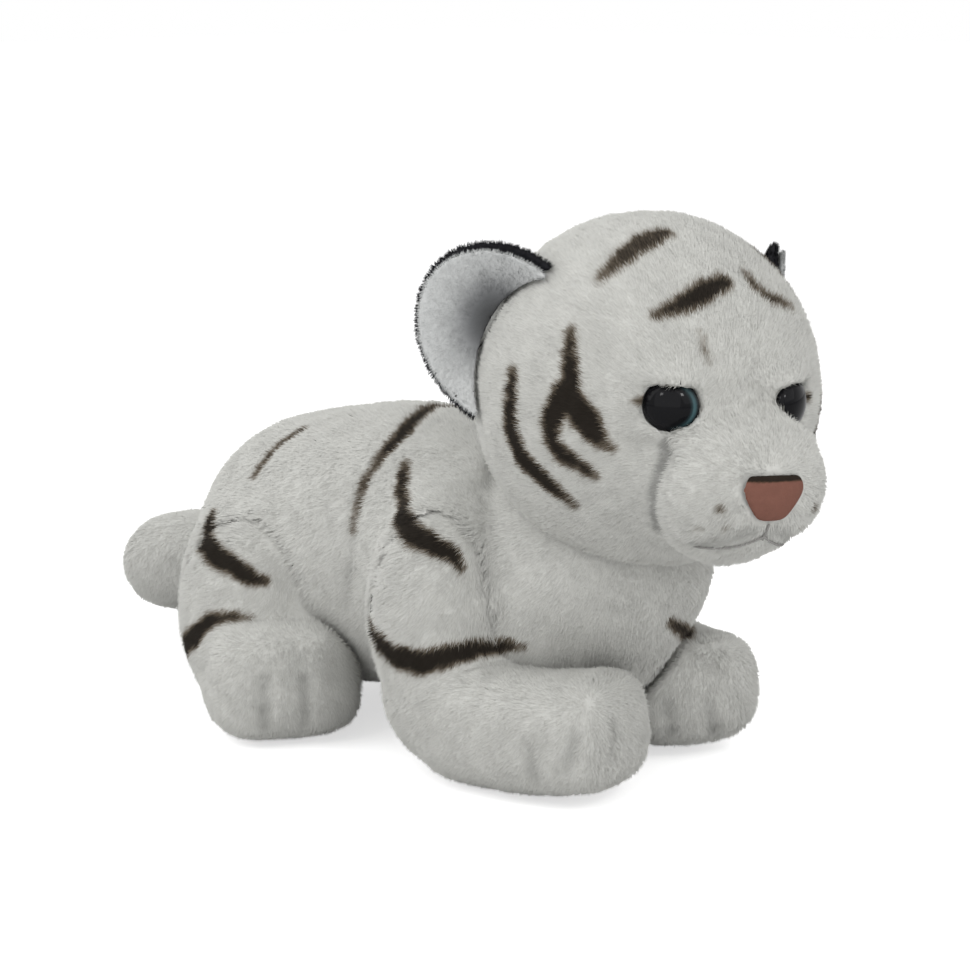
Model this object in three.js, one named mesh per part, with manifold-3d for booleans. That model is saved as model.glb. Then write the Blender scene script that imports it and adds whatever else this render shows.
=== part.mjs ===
// A plush tiger cub that lies on its belly, about 36 cm from nose to tail.
// Millimetres, +Z up. The cub faces -Y and its left side is +X. The origin is on the ground below its middle.
// Every soft piece is a sewn skin with a fibre filling inside it. A piece that moves meets its neighbour on a ball
// or a round column centred on its own turning line, so it turns in its socket without touching the rest.
import * as THREE from 'three';
import { ConvexGeometry } from 'three/addons/geometries/ConvexGeometry.js';
import { mergeVertices } from 'three/addons/utils/BufferGeometryUtils.js';
import Module from 'manifold-3d';

const wasm = await Module();
wasm.setup();

// Sizes that every piece shares
const seamGap = 0.3;
const skinThickness = 3;
const flatDepth = 0.5;
const innerShare = 0.25;
const reach = 400;
const degree = Math.PI / 180;

// Torso
const torso = { frontY: -84, rearY: 117, top: 119, halfWidth: 49, frontCap: 34, rearCap: 56 };
// Along the barrel from front to rear: place along it, height of its middle line, half width, half height
const barrelShares = [
  [0.00, 0.56, 0.80, 0.36],
  [0.25, 0.53, 0.90, 0.41],
  [0.48, 0.55, 0.97, 0.45],
  [0.72, 0.50, 1.00, 0.43],
  [1.00, 0.41, 0.94, 0.35],
];
const chest = { y: -73, z: 74, radius: 42 };
const brisket = { y: -62, z: 51, halfWidth: 40, halfDepth: 36, halfHeight: 36 };
const neckPlug = { radius: 18, depth: 10 };
const pelletPouch = { y: 3, z: 48, halfWidth: 30, halfDepth: 16, halfHeight: 22, mouth: 4 };

// Head, measured from the middle of the skull, facing -Y
const head = { x: -2, y: -98, z: 135.5, turn: -17, lean: 3, halfWidth: 60, halfDepth: 58.5, halfHeight: 61.5 };
const headTravel = { down: 12, up: 6, side: 18 };
const muzzle = { rootY: -34, tipY: -82, rootZ: -20, tipZ: -25, halfWidth: 33, halfHeight: 25, rootCap: 8, tipCap: 21 };
// Along the muzzle from root to tip: place along it, half width, half height above, half height below
const muzzleShares = [
  [0.0, 1.10, 1.15, 0.95],
  [0.5, 0.96, 0.95, 0.96],
  [1.0, 0.76, 0.68, 0.72],
];
const chin = { y: -52, z: -36, halfWidth: 18, halfDepth: 16.5, halfHeight: 15 };
const eye = {
  x: 23.5, z: 2.5, faceTurn: 34, halfWidth: 9.2, halfHeight: 8.6, halfDepth: 5, sink: 1.4, stemRadius: 2, stemLength: 12,
};
const washer = { radius: 7.5, thickness: 1.5, depth: 7 };
const nose = { z: -24, halfWidth: 12, height: 15, rise: 1.2, sink: 1.6 };
const mouth = { width: 1.8, drop: 6, halfWidth: 18, curl: 2.2, rise: 0.6, sink: 1 };
const ear = {
  y: 18, z: 23.5, halfWidth: 30.5, halfHeight: 37, inset: 12.5, faceTurn: 57, tilt: 60, cup: 6.4,
  backThickness: 3.4, liningThickness: 2.4, rim: 2.2, rollRadius: 4.5, rollHalfLength: 15, rise: 0.5, fold: 18,
};

// Forelegs, measured from the upright line that each one turns on
const foreleg = { x: 43, y: -42, height: 92, radius: 25, elbowRadius: 21, elbowRise: 4, opening: 7 };
const forepaw = { x: -14, y: -67, lead: 9, raise: 4, halfWidth: 28, halfHeight: 21.5, cap: 15 };
// Along the forearm from elbow to toes: place along it, half width, half height
const forearmShares = [
  [0.0, 0.84, 1.00],
  [0.5, 0.92, 0.98],
  [1.0, 1.00, 0.92],
];

// Hind legs, measured from the upright line that each one turns on
const hindleg = { x: 43, y: 56, height: 78, radius: 30, opening: 7 };
const hindpaw = { x: 22, y: -43, lead: 0, raise: 3, halfWidth: 29, halfHeight: 21, cap: 14 };
const hindpawShares = [
  [0.0, 0.84, 1.00],
  [0.5, 0.94, 1.00],
  [1.0, 1.00, 0.98],
];

// Tail, with its root ball in the rump
const tail = { y: 106, z: 50, rootRadius: 19, radius: 18.5, back: 71, side: 56, endCap: 4 };
// From the root to the tip seam: place to the side, place to the rear, height, thickness
const tailShares = [
  [0.00, 0.00, 1.00, 0.80],
  [-0.09, 0.46, 0.90, 0.95],
  [-0.04, 0.80, 0.74, 1.00],
  [0.36, 0.92, 0.58, 0.98],
  [0.80, 0.68, 0.42, 0.92],
  [1.00, 0.34, 0.32, 0.87],
];
const tailTip = { length: 34, cap: 14, endShare: 0.8 };

const V = (x, y, z) => new THREE.Vector3(x, y, z);

// A closed solid from a geometry, and a geometry from a solid
function solidFrom(geometry) {
  const bare = geometry.clone();
  for (const name of Object.keys(bare.attributes)) {
    if (name !== 'position') bare.deleteAttribute(name);
  }
  const merged = mergeVertices(bare, 1e-4);
  return new wasm.Manifold(new wasm.Mesh({
    numProp: 3,
    vertProperties: merged.attributes.position.array,
    triVerts: new Uint32Array(merged.index.array),
  }));
}

function geometryFrom(solid) {
  const mesh = solid.getMesh();
  const geometry = new THREE.BufferGeometry();
  geometry.setAttribute('position', new THREE.BufferAttribute(mesh.vertProperties, 3));
  geometry.setIndex(new THREE.BufferAttribute(mesh.triVerts, 1));
  return geometry;
}

// The lining and the filling, which nobody sees, have fewer facets than the outside
function facets(count, inset) {
  return inset >= skinThickness ? 2 * Math.round(count * innerShare) : 2 * Math.round(count / 2);
}

function moved(solid, matrix) {
  return solid.transform(matrix.elements);
}

// An oval ball with its poles on the Z axis; a socket for it is drawn round its corners, not through them
function ballGeometry(centre, half, { inset = 0, across = 20, down = 12, socket = 0 } = {}) {
  const round = facets(across, inset);
  const high = facets(down, inset);
  const ease = socket ? 1 / (Math.cos(Math.PI / round) * Math.cos(Math.PI / (2 * high))) : 1;
  const geometry = new THREE.SphereGeometry(1, round, high);
  geometry.rotateX(Math.PI / 2);
  geometry.scale(...half.map((size) => (size - inset + socket) * ease));
  geometry.translate(...centre.toArray());
  return geometry;
}

function ball(centre, half, options) {
  return solidFrom(ballGeometry(centre, half, options));
}

// A stuffed tube along a curve, with oval sections and round ends; sizes hold half width, half height up and down
function stuffedTube({ spine, sizes, caps, inset = 0, sectors = 18, capRings = 3, middleRings = 5, square = 2 }) {
  const around = facets(sectors, inset);
  const path = new THREE.CatmullRomCurve3(spine, false, 'centripetal');
  const girth = new THREE.CatmullRomCurve3(sizes, false, 'centripetal');
  const length = path.getLength();
  const [first, last] = caps;
  const rings = [];
  for (let i = 1; i <= capRings; i += 1) {
    const angle = (Math.PI / 2) * (i / capRings);
    rings.push([first * (1 - Math.cos(angle)), Math.sin(angle)]);
  }
  for (let i = 1; i < middleRings; i += 1) {
    rings.push([first + (length - first - last) * (i / middleRings), 1]);
  }
  for (let i = capRings; i >= 1; i -= 1) {
    const angle = (Math.PI / 2) * (i / capRings);
    rings.push([length - last * (1 - Math.cos(angle)), Math.sin(angle)]);
  }
  const share = (distance) => (inset + distance * ((length - 2 * inset) / length)) / length;
  const onPath = (place) => {
    const near = Math.min(1, Math.max(0, place));
    return path.getPointAt(near).addScaledVector(path.getTangentAt(near), (place - near) * length);
  };
  const points = [onPath(share(0))];
  for (const [distance, swell] of rings) {
    const near = Math.min(1, Math.max(0, share(distance)));
    const middle = onPath(share(distance));
    const along = path.getTangentAt(near);
    const side = V(0, 0, 1).cross(along).negate().normalize();
    const rise = side.clone().cross(along).normalize();
    const size = girth.getPoint(path.getUtoTmapping(near));
    for (let j = 0; j < around; j += 1) {
      const cosine = Math.cos((2 * Math.PI * j) / around);
      const sine = Math.sin((2 * Math.PI * j) / around);
      const half = (sine > 0 ? size.y : size.z) - inset;
      const across = Math.sign(cosine) * Math.abs(cosine) ** (2 / square) * (size.x - inset) * swell;
      const up = Math.sign(sine) * Math.abs(sine) ** (2 / square) * half * swell;
      points.push(middle.clone().addScaledVector(side, across).addScaledVector(rise, up));
    }
  }
  points.push(onPath(share(length)));
  const index = [];
  const ring = (i, j) => 1 + i * around + (j % around);
  for (let j = 0; j < around; j += 1) {
    index.push(0, ring(0, j), ring(0, j + 1));
    for (let i = 0; i + 1 < rings.length; i += 1) {
      index.push(ring(i, j), ring(i + 1, j), ring(i, j + 1));
      index.push(ring(i, j + 1), ring(i + 1, j), ring(i + 1, j + 1));
    }
    index.push(points.length - 1, ring(rings.length - 1, j + 1), ring(rings.length - 1, j));
  }
  const geometry = new THREE.BufferGeometry().setFromPoints(points);
  geometry.setIndex(index);
  return solidFrom(geometry);
}

// A round piece about an upright line, from a profile of [radius, height]; a socket is drawn round its corners
function turned(profile, { around = 24, socket = false } = {}) {
  const ease = socket ? 1 / Math.cos(Math.PI / around) : 1;
  const geometry = new THREE.LatheGeometry(profile.map(([r, z]) => new THREE.Vector2(r * ease, z)), around);
  geometry.rotateX(Math.PI / 2);
  return solidFrom(geometry);
}

// A flat outline in the plane that the head faces, pushed through it from front to back
function pushedThrough(shape, nearY, farY) {
  const geometry = new THREE.ExtrudeGeometry(shape, { depth: farY - nearY, bevelEnabled: false, curveSegments: 6 });
  geometry.rotateX(Math.PI / 2);
  geometry.translate(0, farY, 0);
  return solidFrom(geometry);
}

function floorCut() {
  const geometry = new THREE.BoxGeometry(2 * reach, 2 * reach, reach);
  geometry.translate(0, 0, -reach / 2);
  return solidFrom(geometry);
}
const floor = floorCut();

const colours = { white: 0xc9c9c3, black: 0x211d1b, lining: 0xb4b4b0, pink: 0x96605a, fibre: 0xf2f2ee, plastic: 0x0c0d0f };
const root = new THREE.Group();
function add(parent, name, solid, color, roughness = 0.95) {
  const material = new THREE.MeshStandardMaterial({ color, roughness, metalness: 0 });
  const mesh = new THREE.Mesh(geometryFrom(solid), material);
  mesh.name = name;
  parent.add(mesh);
}

// Head form: skull, muzzle and chin in one; its skin opens below, where it sits on the neck
const headGroup = new THREE.Group();
headGroup.position.set(head.x, head.y, head.z);
headGroup.rotation.set(0, head.lean * degree, head.turn * degree, 'ZYX');
root.add(headGroup);
headGroup.updateMatrixWorld(true);
const headPlace = headGroup.matrixWorld.clone();
const fromHead = headPlace.clone().invert();
const neckPivot = V(0, chest.y, chest.z);
const neckInHead = neckPivot.clone().applyMatrix4(fromHead);

function headForm(inset = 0) {
  const skull = ball(V(0, 0, 0), [head.halfWidth, head.halfDepth, head.halfHeight], { inset, across: 22, down: 14 });
  const from = V(0, muzzle.rootY, muzzle.rootZ);
  const to = V(0, muzzle.tipY, muzzle.tipZ);
  const snout = stuffedTube({
    spine: muzzleShares.map(([place]) => from.clone().lerp(to, place)),
    sizes: muzzleShares.map(([, w, u, d]) => V(w * muzzle.halfWidth, u * muzzle.halfHeight, d * muzzle.halfHeight)),
    caps: [muzzle.rootCap, muzzle.tipCap],
    inset,
    square: 2.2,
    middleRings: 3,
  });
  const jawHalf = [chin.halfWidth, chin.halfDepth, chin.halfHeight];
  const jaw = ball(V(0, chin.y, chin.z), jawHalf, { inset, across: 12, down: 8 });
  return skull.add(snout).add(jaw);
}

// The room that the head needs as it turns and nods, kept clear of the torso
function headRoom(clearance) {
  const skullHalf = [head.halfWidth, head.halfDepth, head.halfHeight];
  const jawHalf = [chin.halfWidth, chin.halfDepth, chin.halfHeight];
  const corners = [];
  for (const geometry of [
    ballGeometry(V(0, 0, 0), skullHalf, { across: 12, down: 8, socket: clearance }),
    ballGeometry(V(0, chin.y, chin.z), jawHalf, { across: 8, down: 6, socket: clearance }),
  ]) {
    const spots = mergeVertices(geometry.deleteAttribute('uv').deleteAttribute('normal')).attributes.position;
    for (let i = 0; i < spots.count; i += 1) corners.push(V(0, 0, 0).fromBufferAttribute(spots, i).applyMatrix4(headPlace));
  }
  const places = [];
  for (const nod of [-headTravel.up, headTravel.down]) {
    for (const turn of [-headTravel.side, headTravel.side]) {
      const matrix = new THREE.Matrix4().makeTranslation(neckPivot)
        .multiply(new THREE.Matrix4().makeRotationZ(turn * degree))
        .multiply(new THREE.Matrix4().makeRotationX(nod * degree))
        .multiply(new THREE.Matrix4().makeTranslation(neckPivot.clone().negate()));
      for (const corner of corners) places.push(corner.clone().applyMatrix4(matrix));
    }
  }
  return solidFrom(new ConvexGeometry(places));
}

// Forelegs: an upright shoulder column and elbow on one turning line, with the forearm and paw in front of them
function columnProfile({ height, radius, elbowRadius, elbowRise }, inset, socket) {
  const grow = socket - inset;
  const middle = height / 2 + elbowRadius / 3;
  const half = height - middle;
  const elbow = elbowRadius + elbowRise;
  const oval = (z, centre, wide, high) => Math.sqrt(Math.max(0, 1 - ((z - centre) / (high + grow)) ** 2)) * (wide + grow);
  const low = elbowRise - grow;
  const high = middle + half + grow;
  const steps = facets(16, inset) / 2 + 1;
  const profile = [];
  for (let i = 0; i <= steps; i += 1) {
    const z = low + ((high - low) * (1 - Math.cos((Math.PI * i) / steps))) / 2;
    const wide = Math.max(oval(z, middle, radius, half), oval(z, elbow, elbowRadius, elbowRadius));
    profile.push([i === 0 || i === steps ? 0 : wide, z]);
  }
  return profile;
}

function forelegColumn(inset, socket = 0) {
  const profile = columnProfile(foreleg, inset, socket);
  return turned(profile, { around: facets(16, inset), socket: socket > 0 });
}

function limb({ paw, shares, inset, side, middleShare = 0.55, bow = 0 }) {
  const height = paw.halfHeight - flatDepth;
  const tipY = paw.y + side * paw.lead;
  const middle = V(side * (paw.x / 2 + bow), tipY * middleShare, height);
  return stuffedTube({
    spine: [V(0, 0, height), middle, V(side * paw.x, tipY, height + paw.raise)],
    sizes: shares.map(([, w, h]) => V(w * paw.halfWidth, h * paw.halfHeight, h * paw.halfHeight)),
    caps: [paw.halfWidth * 0.8, paw.cap],
    inset,
    sectors: 12,
    capRings: 3,
    middleRings: 3,
    square: 2.7,
  });
}

function forelegForm(side, inset) {
  const arm = limb({ paw: forepaw, shares: forearmShares, inset, side, bow: 3 });
  return forelegColumn(inset).add(arm);
}

// Hind legs: a round thigh on its turning line, with a short broad foot in front of it
function hindlegThigh(inset, socket = 0) {
  const half = [hindleg.radius, hindleg.radius, hindleg.height / 2];
  return ball(V(0, 0, hindleg.height / 2 - flatDepth), half, { inset, across: 16, down: 10, socket });
}

function hindlegForm(side, inset) {
  return hindlegThigh(inset).add(limb({ paw: hindpaw, shares: hindpawShares, inset, side, middleShare: 0.5 }));
}

// Torso form: barrel, chest ball and brisket, less the room that the head and the legs take
const sides = [['right', -1], ['left', 1]];
const legs = [];
for (const [word, side] of sides) {
  for (const [kind, at, form, core] of [
    ['foreleg', foreleg, forelegForm, forelegColumn],
    ['hindleg', hindleg, hindlegForm, hindlegThigh],
  ]) {
    const group = new THREE.Group();
    group.position.set(side * at.x, at.y, 0);
    root.add(group);
    group.updateMatrixWorld(true);
    legs.push({ name: `${word}_${kind}`, side, at, group, form, core, place: group.matrixWorld.clone() });
  }
}
const tailRoot = V(0, tail.y, tail.z);

function torsoBlank(inset) {
  const length = torso.rearY - torso.frontY;
  const barrel = stuffedTube({
    spine: barrelShares.map(([place, height]) => V(0, torso.frontY + place * length, height * torso.top)),
    sizes: barrelShares.map(([, , w, h]) => V(w * torso.halfWidth, h * torso.top, h * torso.top)),
    caps: [torso.frontCap, torso.rearCap],
    inset,
    sectors: 22,
    middleRings: 4,
    square: 2.15,
  });
  const lowHalf = [brisket.halfWidth, brisket.halfDepth, brisket.halfHeight];
  const low = ball(V(0, brisket.y, brisket.z), lowHalf, { inset, across: 14, down: 8 });
  return barrel.add(low);
}

function chestBall(inset, across = 20, down = 12) {
  return ball(neckPivot, [chest.radius, chest.radius, chest.radius], { inset, across, down });
}

function torsoForm(inset) {
  const rootHalf = [tail.rootRadius, tail.rootRadius, tail.rootRadius];
  const socket = seamGap + 2 * inset;
  let form = torsoBlank(inset).subtract(headRoom(2 * seamGap + inset));
  form = form.add(chestBall(inset));
  for (const leg of legs) form = form.subtract(moved(leg.core(inset, socket), leg.place));
  return form.subtract(ball(tailRoot, rootHalf, { inset, across: 18, down: 12, socket }));
}

// The neck plug turns in the torso and carries the head on its round top
function plug(grow) {
  const radius = neckPlug.radius + grow;
  const top = chest.radius;
  const edge = Math.asin(radius / top);
  const profile = [[0, -neckPlug.depth - grow], [radius, -neckPlug.depth - grow]];
  const steps = 3;
  for (let i = 0; i <= steps; i += 1) {
    const angle = edge * (1 - i / steps);
    profile.push([i === steps ? 0 : top * Math.sin(angle), top * Math.cos(angle)]);
  }
  return turned(profile, { around: 16 }).translate(neckPivot.toArray());
}

function plugSocket(grow) {
  const radius = neckPlug.radius + grow;
  const foot = -neckPlug.depth - grow;
  return turned([[0, foot], [radius, foot], [radius, reach], [0, reach]], { around: 16, socket: true })
    .translate(neckPivot.toArray());
}

const lining = skinThickness;
const filled = skinThickness + seamGap;
const pouchHalf = [pelletPouch.halfWidth, pelletPouch.halfDepth, pelletPouch.halfHeight];
const pouchPlace = V(0, pelletPouch.y, pelletPouch.z);
const torsoOuter = torsoForm(0);
const torsoSkin = torsoOuter.subtract(torsoForm(lining)).subtract(plugSocket(seamGap));
const pouchMouth = turned([[0, -torso.top], [pelletPouch.mouth, -torso.top], [pelletPouch.mouth, 0], [0, 0]], { around: 8 })
  .translate(pouchPlace.toArray());
const torsoFilling = torsoForm(filled).subtract(plugSocket(seamGap)).subtract(pouchMouth)
  .subtract(ball(pouchPlace, pouchHalf, { inset: -seamGap, across: 12, down: 8 }));
add(root, 'torso_skin', torsoSkin, colours.white);
add(root, 'torso_filling', torsoFilling, colours.fibre);
add(root, 'pellet_pouch', ball(pouchPlace, pouchHalf, { across: 12, down: 8 }), colours.fibre);
add(root, 'neck_filling', plug(0), colours.fibre);

// Head skin and filling, with the cup that turns on the neck
const headCup = (grow, inset) => {
  const half = [chest.radius, chest.radius, chest.radius];
  return ball(neckInHead, half, { inset, across: 20, down: 12, socket: grow + inset });
};
let headSkin = headForm(0).subtract(headForm(lining)).subtract(headCup(seamGap, 0));
let headFilling = headForm(filled).subtract(headCup(seamGap, lining));

// Eyes: a dome with a stem through the skin, held by a washer inside
function roundRod(radius, from, to, sectors = 12) {
  const geometry = new THREE.CylinderGeometry(radius, radius, to - from, sectors);
  geometry.translate(0, (from + to) / 2, 0);
  return solidFrom(geometry);
}

for (const [word, side] of sides) {
  const x = side * eye.x;
  const y = -head.halfDepth * Math.sqrt(1 - (eye.x / head.halfWidth) ** 2 - (eye.z / head.halfHeight) ** 2);
  const out = V(side * Math.sin(eye.faceTurn * degree), -Math.cos(eye.faceTurn * degree), 0.04).normalize();
  const group = new THREE.Group();
  group.position.set(x, y, eye.z).addScaledVector(out, -eye.sink);
  group.quaternion.setFromUnitVectors(V(0, 1, 0), out);
  headGroup.add(group);
  group.updateMatrix();
  const dome = (grow) => ball(V(0, 0, 0), [eye.halfWidth + grow, eye.halfDepth + grow, eye.halfHeight + grow], {
    across: 14,
    down: 8,
  }).add(roundRod(eye.stemRadius + grow, -eye.stemLength - grow, 0));
  const ring = (grow) => roundRod(washer.radius + grow, -washer.depth - washer.thickness - grow, grow - washer.depth);
  const bore = roundRod(eye.stemRadius + seamGap, -eye.stemLength - seamGap, 0);
  headSkin = headSkin.subtract(moved(dome(seamGap), group.matrix));
  headFilling = headFilling.subtract(moved(dome(seamGap).add(ring(seamGap)), group.matrix));
  add(group, `${word}_eye`, dome(0), colours.plastic, 0.12);
  add(group, `${word}_eye_washer`, ring(0).subtract(bore), colours.plastic, 0.5);
}

// Nose pad: a rounded triangle let into the tip of the muzzle
function noseOutline(grow) {
  const wide = nose.halfWidth + grow;
  const top = nose.z + nose.height / 2 + grow;
  const low = nose.z - nose.height / 2 - grow;
  const shape = new THREE.Shape();
  shape.moveTo(-wide, top - nose.height / 4);
  shape.quadraticCurveTo(-wide, top, -wide * 0.7, top);
  shape.lineTo(wide * 0.7, top);
  shape.quadraticCurveTo(wide, top, wide, top - nose.height / 4);
  shape.quadraticCurveTo(wide * 0.8, low + nose.height / 4, nose.height / 6, low);
  shape.quadraticCurveTo(0, low - nose.height / 15, -nose.height / 6, low);
  shape.quadraticCurveTo(-wide * 0.8, low + nose.height / 4, -wide, top - nose.height / 4);
  return shape;
}
const noseBlock = (grow) => pushedThrough(noseOutline(grow), 1.5 * muzzle.tipY, muzzle.tipY + muzzle.tipCap + grow);
const nosePad = headForm(-nose.rise).intersect(noseBlock(0)).subtract(headForm(nose.sink));
headSkin = headSkin.subtract(noseBlock(seamGap).subtract(headForm(nose.sink + 2 * seamGap)));
add(headGroup, 'nose_pad', nosePad, colours.pink, 0.85);

// Mouth: a thread below the nose that parts to both sides, half sunk in the pile
function mouthLine(grow) {
  const half = mouth.width / 2 + grow;
  const start = nose.z - nose.height / 2 - nose.height / 15 - 3 * seamGap;
  const top = start + grow;
  const fork = start - mouth.drop;
  const end = mouth.halfWidth + grow;
  const shape = new THREE.Shape();
  shape.moveTo(-half, top);
  shape.lineTo(half, top);
  shape.lineTo(half, fork + half);
  shape.quadraticCurveTo(end * 0.6, fork + half - mouth.curl * 0.6, end, fork + half + mouth.curl * 0.4);
  shape.lineTo(end, fork - half + mouth.curl * 0.4);
  shape.quadraticCurveTo(end * 0.6, fork - half - mouth.curl * 0.6, 0, fork - half);
  shape.quadraticCurveTo(-end * 0.6, fork - half - mouth.curl * 0.6, -end, fork - half + mouth.curl * 0.4);
  shape.lineTo(-end, fork + half + mouth.curl * 0.4);
  shape.quadraticCurveTo(-end * 0.6, fork + half - mouth.curl * 0.6, -half, fork + half);
  shape.lineTo(-half, top);
  return shape;
}
const mouthBlock = (grow) => pushedThrough(mouthLine(grow), 1.5 * muzzle.tipY, muzzle.tipY + muzzle.tipCap + grow);
const mouthThread = headForm(-mouth.rise).intersect(mouthBlock(0)).subtract(headForm(mouth.sink));
headSkin = headSkin.subtract(mouthBlock(seamGap).subtract(headForm(mouth.sink + 2 * seamGap)));
add(headGroup, 'mouth_thread', mouthThread, colours.black);

// Ears: a padded dish with a thinner lining in it, on a rolled base that folds in a groove of the head
function earDish(back, front, shrink) {
  const steps = 4;
  const wide = ear.halfWidth - shrink;
  const high = ear.halfHeight - shrink;
  const depth = (share, level) => ear.cup * (1 - share ** 2) + level;
  const profile = [];
  for (let i = 0; i <= steps; i += 1) profile.push([i / steps, depth(i / steps, back)]);
  for (let i = steps; i >= 0; i -= 1) profile.push([i / steps, depth(i / steps, front)]);
  const geometry = new THREE.LatheGeometry(profile.reverse().map(([r, y]) => new THREE.Vector2(r, y)), 18);
  geometry.scale(wide, 1, high);
  return solidFrom(geometry);
}

for (const [word, side] of sides) {
  const onSkull = Math.sqrt(1 - (ear.y / head.halfDepth) ** 2 - (ear.z / head.halfHeight) ** 2);
  const group = new THREE.Group();
  group.position.set(side * (head.halfWidth * onSkull + ear.rise), ear.y, ear.z);
  group.rotation.set(0, side * ear.tilt * degree, side * ear.faceTurn * degree, 'ZYX');
  headGroup.add(group);
  group.updateMatrix();
  const toEar = group.matrix.clone().invert();
  const headInEar = moved(headForm(-seamGap), toEar);
  const fold = new THREE.Matrix4();
  let room = headInEar;
  for (const turn of [-ear.fold, ear.fold]) {
    room = room.add(moved(headInEar, fold.makeRotationX(turn * degree)));
  }
  const roll = (grow) => {
    const half = ear.rollHalfLength + grow;
    const geometry = new THREE.CylinderGeometry(ear.rollRadius + grow, ear.rollRadius + grow, 2 * half, 14);
    geometry.rotateZ(Math.PI / 2);
    return solidFrom(geometry);
  };
  const dish = (...levels) => earDish(...levels).translate([0, -ear.cup, -ear.inset]);
  const backPlate = dish(ear.backThickness / 2, -ear.backThickness / 2, 0).subtract(room);
  const liningTop = -ear.backThickness / 2 - seamGap;
  const liningPlate = dish(liningTop, liningTop - ear.liningThickness, ear.rim).subtract(room);
  headSkin = headSkin.subtract(moved(roll(seamGap), group.matrix));
  headFilling = headFilling.subtract(moved(roll(seamGap), group.matrix));
  add(group, `${word}_ear_back`, backPlate.add(roll(0)), colours.black);
  add(group, `${word}_ear_lining`, liningPlate.subtract(roll(seamGap)), colours.lining);
}
add(headGroup, 'head_skin', headSkin, colours.white);
add(headGroup, 'head_filling', headFilling, colours.fibre);

// Legs: skin and filling, cut where they lie against the torso and flat where they stand
for (const { name, side, group, form, core, place, at } of legs) {
  const toLeg = place.clone().invert();
  const beside = (inset) => moved(torsoBlank(-seamGap - inset).add(chestBall(-seamGap - inset)), toLeg);
  const layer = (inset) => form(side, inset).subtract(beside(inset).subtract(core(inset))).subtract(floor);
  const opening = ball(V(-side * at.radius, 0, at.height / 2), [at.opening, at.opening, at.opening], { across: 8, down: 6 });
  add(group, `${name}_skin`, layer(0).subtract(layer(lining)).subtract(opening), colours.white);
  add(group, `${name}_filling`, layer(filled), colours.fibre);
}

// Tail: from the root ball in the rump it curls round to the left, and its dark tip is a piece of its own
const tailGroup = new THREE.Group();
tailGroup.position.copy(tailRoot);
root.add(tailGroup);
const tailPoint = ([toSide, toRear, height]) => V(toSide * tail.side, toRear * tail.back, (height - 1) * tail.z);
const tailSpine = tailShares.map(tailPoint);
const tailSizes = tailShares.map(([, , , share]) => V(1, 1, 1).multiplyScalar(share * tail.radius));
const tipGroup = new THREE.Group();
tipGroup.position.copy(tailSpine.at(-1));
tailGroup.add(tipGroup);
const tailEnd = tailSpine.at(-1).clone().sub(tailSpine.at(-2)).normalize();
const tipSize = tailSizes.at(-1);
const tipHalf = tipSize.toArray();
const tipLow = V(0, 0, tipSize.x - flatDepth - tail.z - tailSpine.at(-1).z);

function tailForm(inset) {
  const rootHalf = [tail.rootRadius, tail.rootRadius, tail.rootRadius];
  return stuffedTube({
    spine: tailSpine,
    sizes: tailSizes,
    caps: [tail.radius / 2, tail.endCap],
    inset,
    sectors: 12,
    capRings: 2,
    middleRings: 7,
  }).add(ball(V(0, 0, 0), rootHalf, { inset, across: 18, down: 12 }));
}

function tipForm(inset) {
  const far = tailEnd.clone().multiplyScalar(tailTip.length).setZ(tipLow.z);
  return stuffedTube({
    spine: [V(0, 0, 0), far.clone().multiplyScalar(0.5), far],
    sizes: [tipSize.clone(), tipSize.clone(), tipSize.clone().multiplyScalar(tailTip.endShare)],
    caps: [tail.endCap, tailTip.cap],
    inset,
    sectors: 12,
    middleRings: 2,
  }).add(ball(V(0, 0, 0), tipHalf, { inset, across: 14, down: 10 }));
}

const underTail = floor.translate([0, 0, -tail.z]);
const underTip = floor.translate([0, 0, -tail.z - tailSpine.at(-1).z]);
const tipSocket = (layer) => ball(tailSpine.at(-1), tipHalf, { inset: layer, across: 14, down: 10, socket: seamGap + layer });
const tailLayer = (inset) => tailForm(inset).subtract(tipSocket(inset)).subtract(underTail);
const tipLayer = (inset) => tipForm(inset).subtract(underTip);
const tipOpening = ball(tailEnd.clone().multiplyScalar(-tipSize.x), tipHalf.map((size) => size / 2), { across: 8, down: 6 });
add(tailGroup, 'tail_skin', tailLayer(0).subtract(tailForm(lining)), colours.white);
add(tailGroup, 'tail_filling', tailLayer(filled + seamGap), colours.fibre);
add(tipGroup, 'tail_tip_skin', tipLayer(0).subtract(tipLayer(lining)).subtract(tipOpening), colours.black);
add(tipGroup, 'tail_tip_filling', tipLayer(filled), colours.fibre);

// The origin goes on the ground below the middle of the whole cub
const bounds = new THREE.Box3().setFromObject(root, true);
const middle = bounds.getCenter(V(0, 0, 0));
root.position.set(-middle.x, -middle.y, -bounds.min.z);

export default root;
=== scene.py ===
import math

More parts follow.
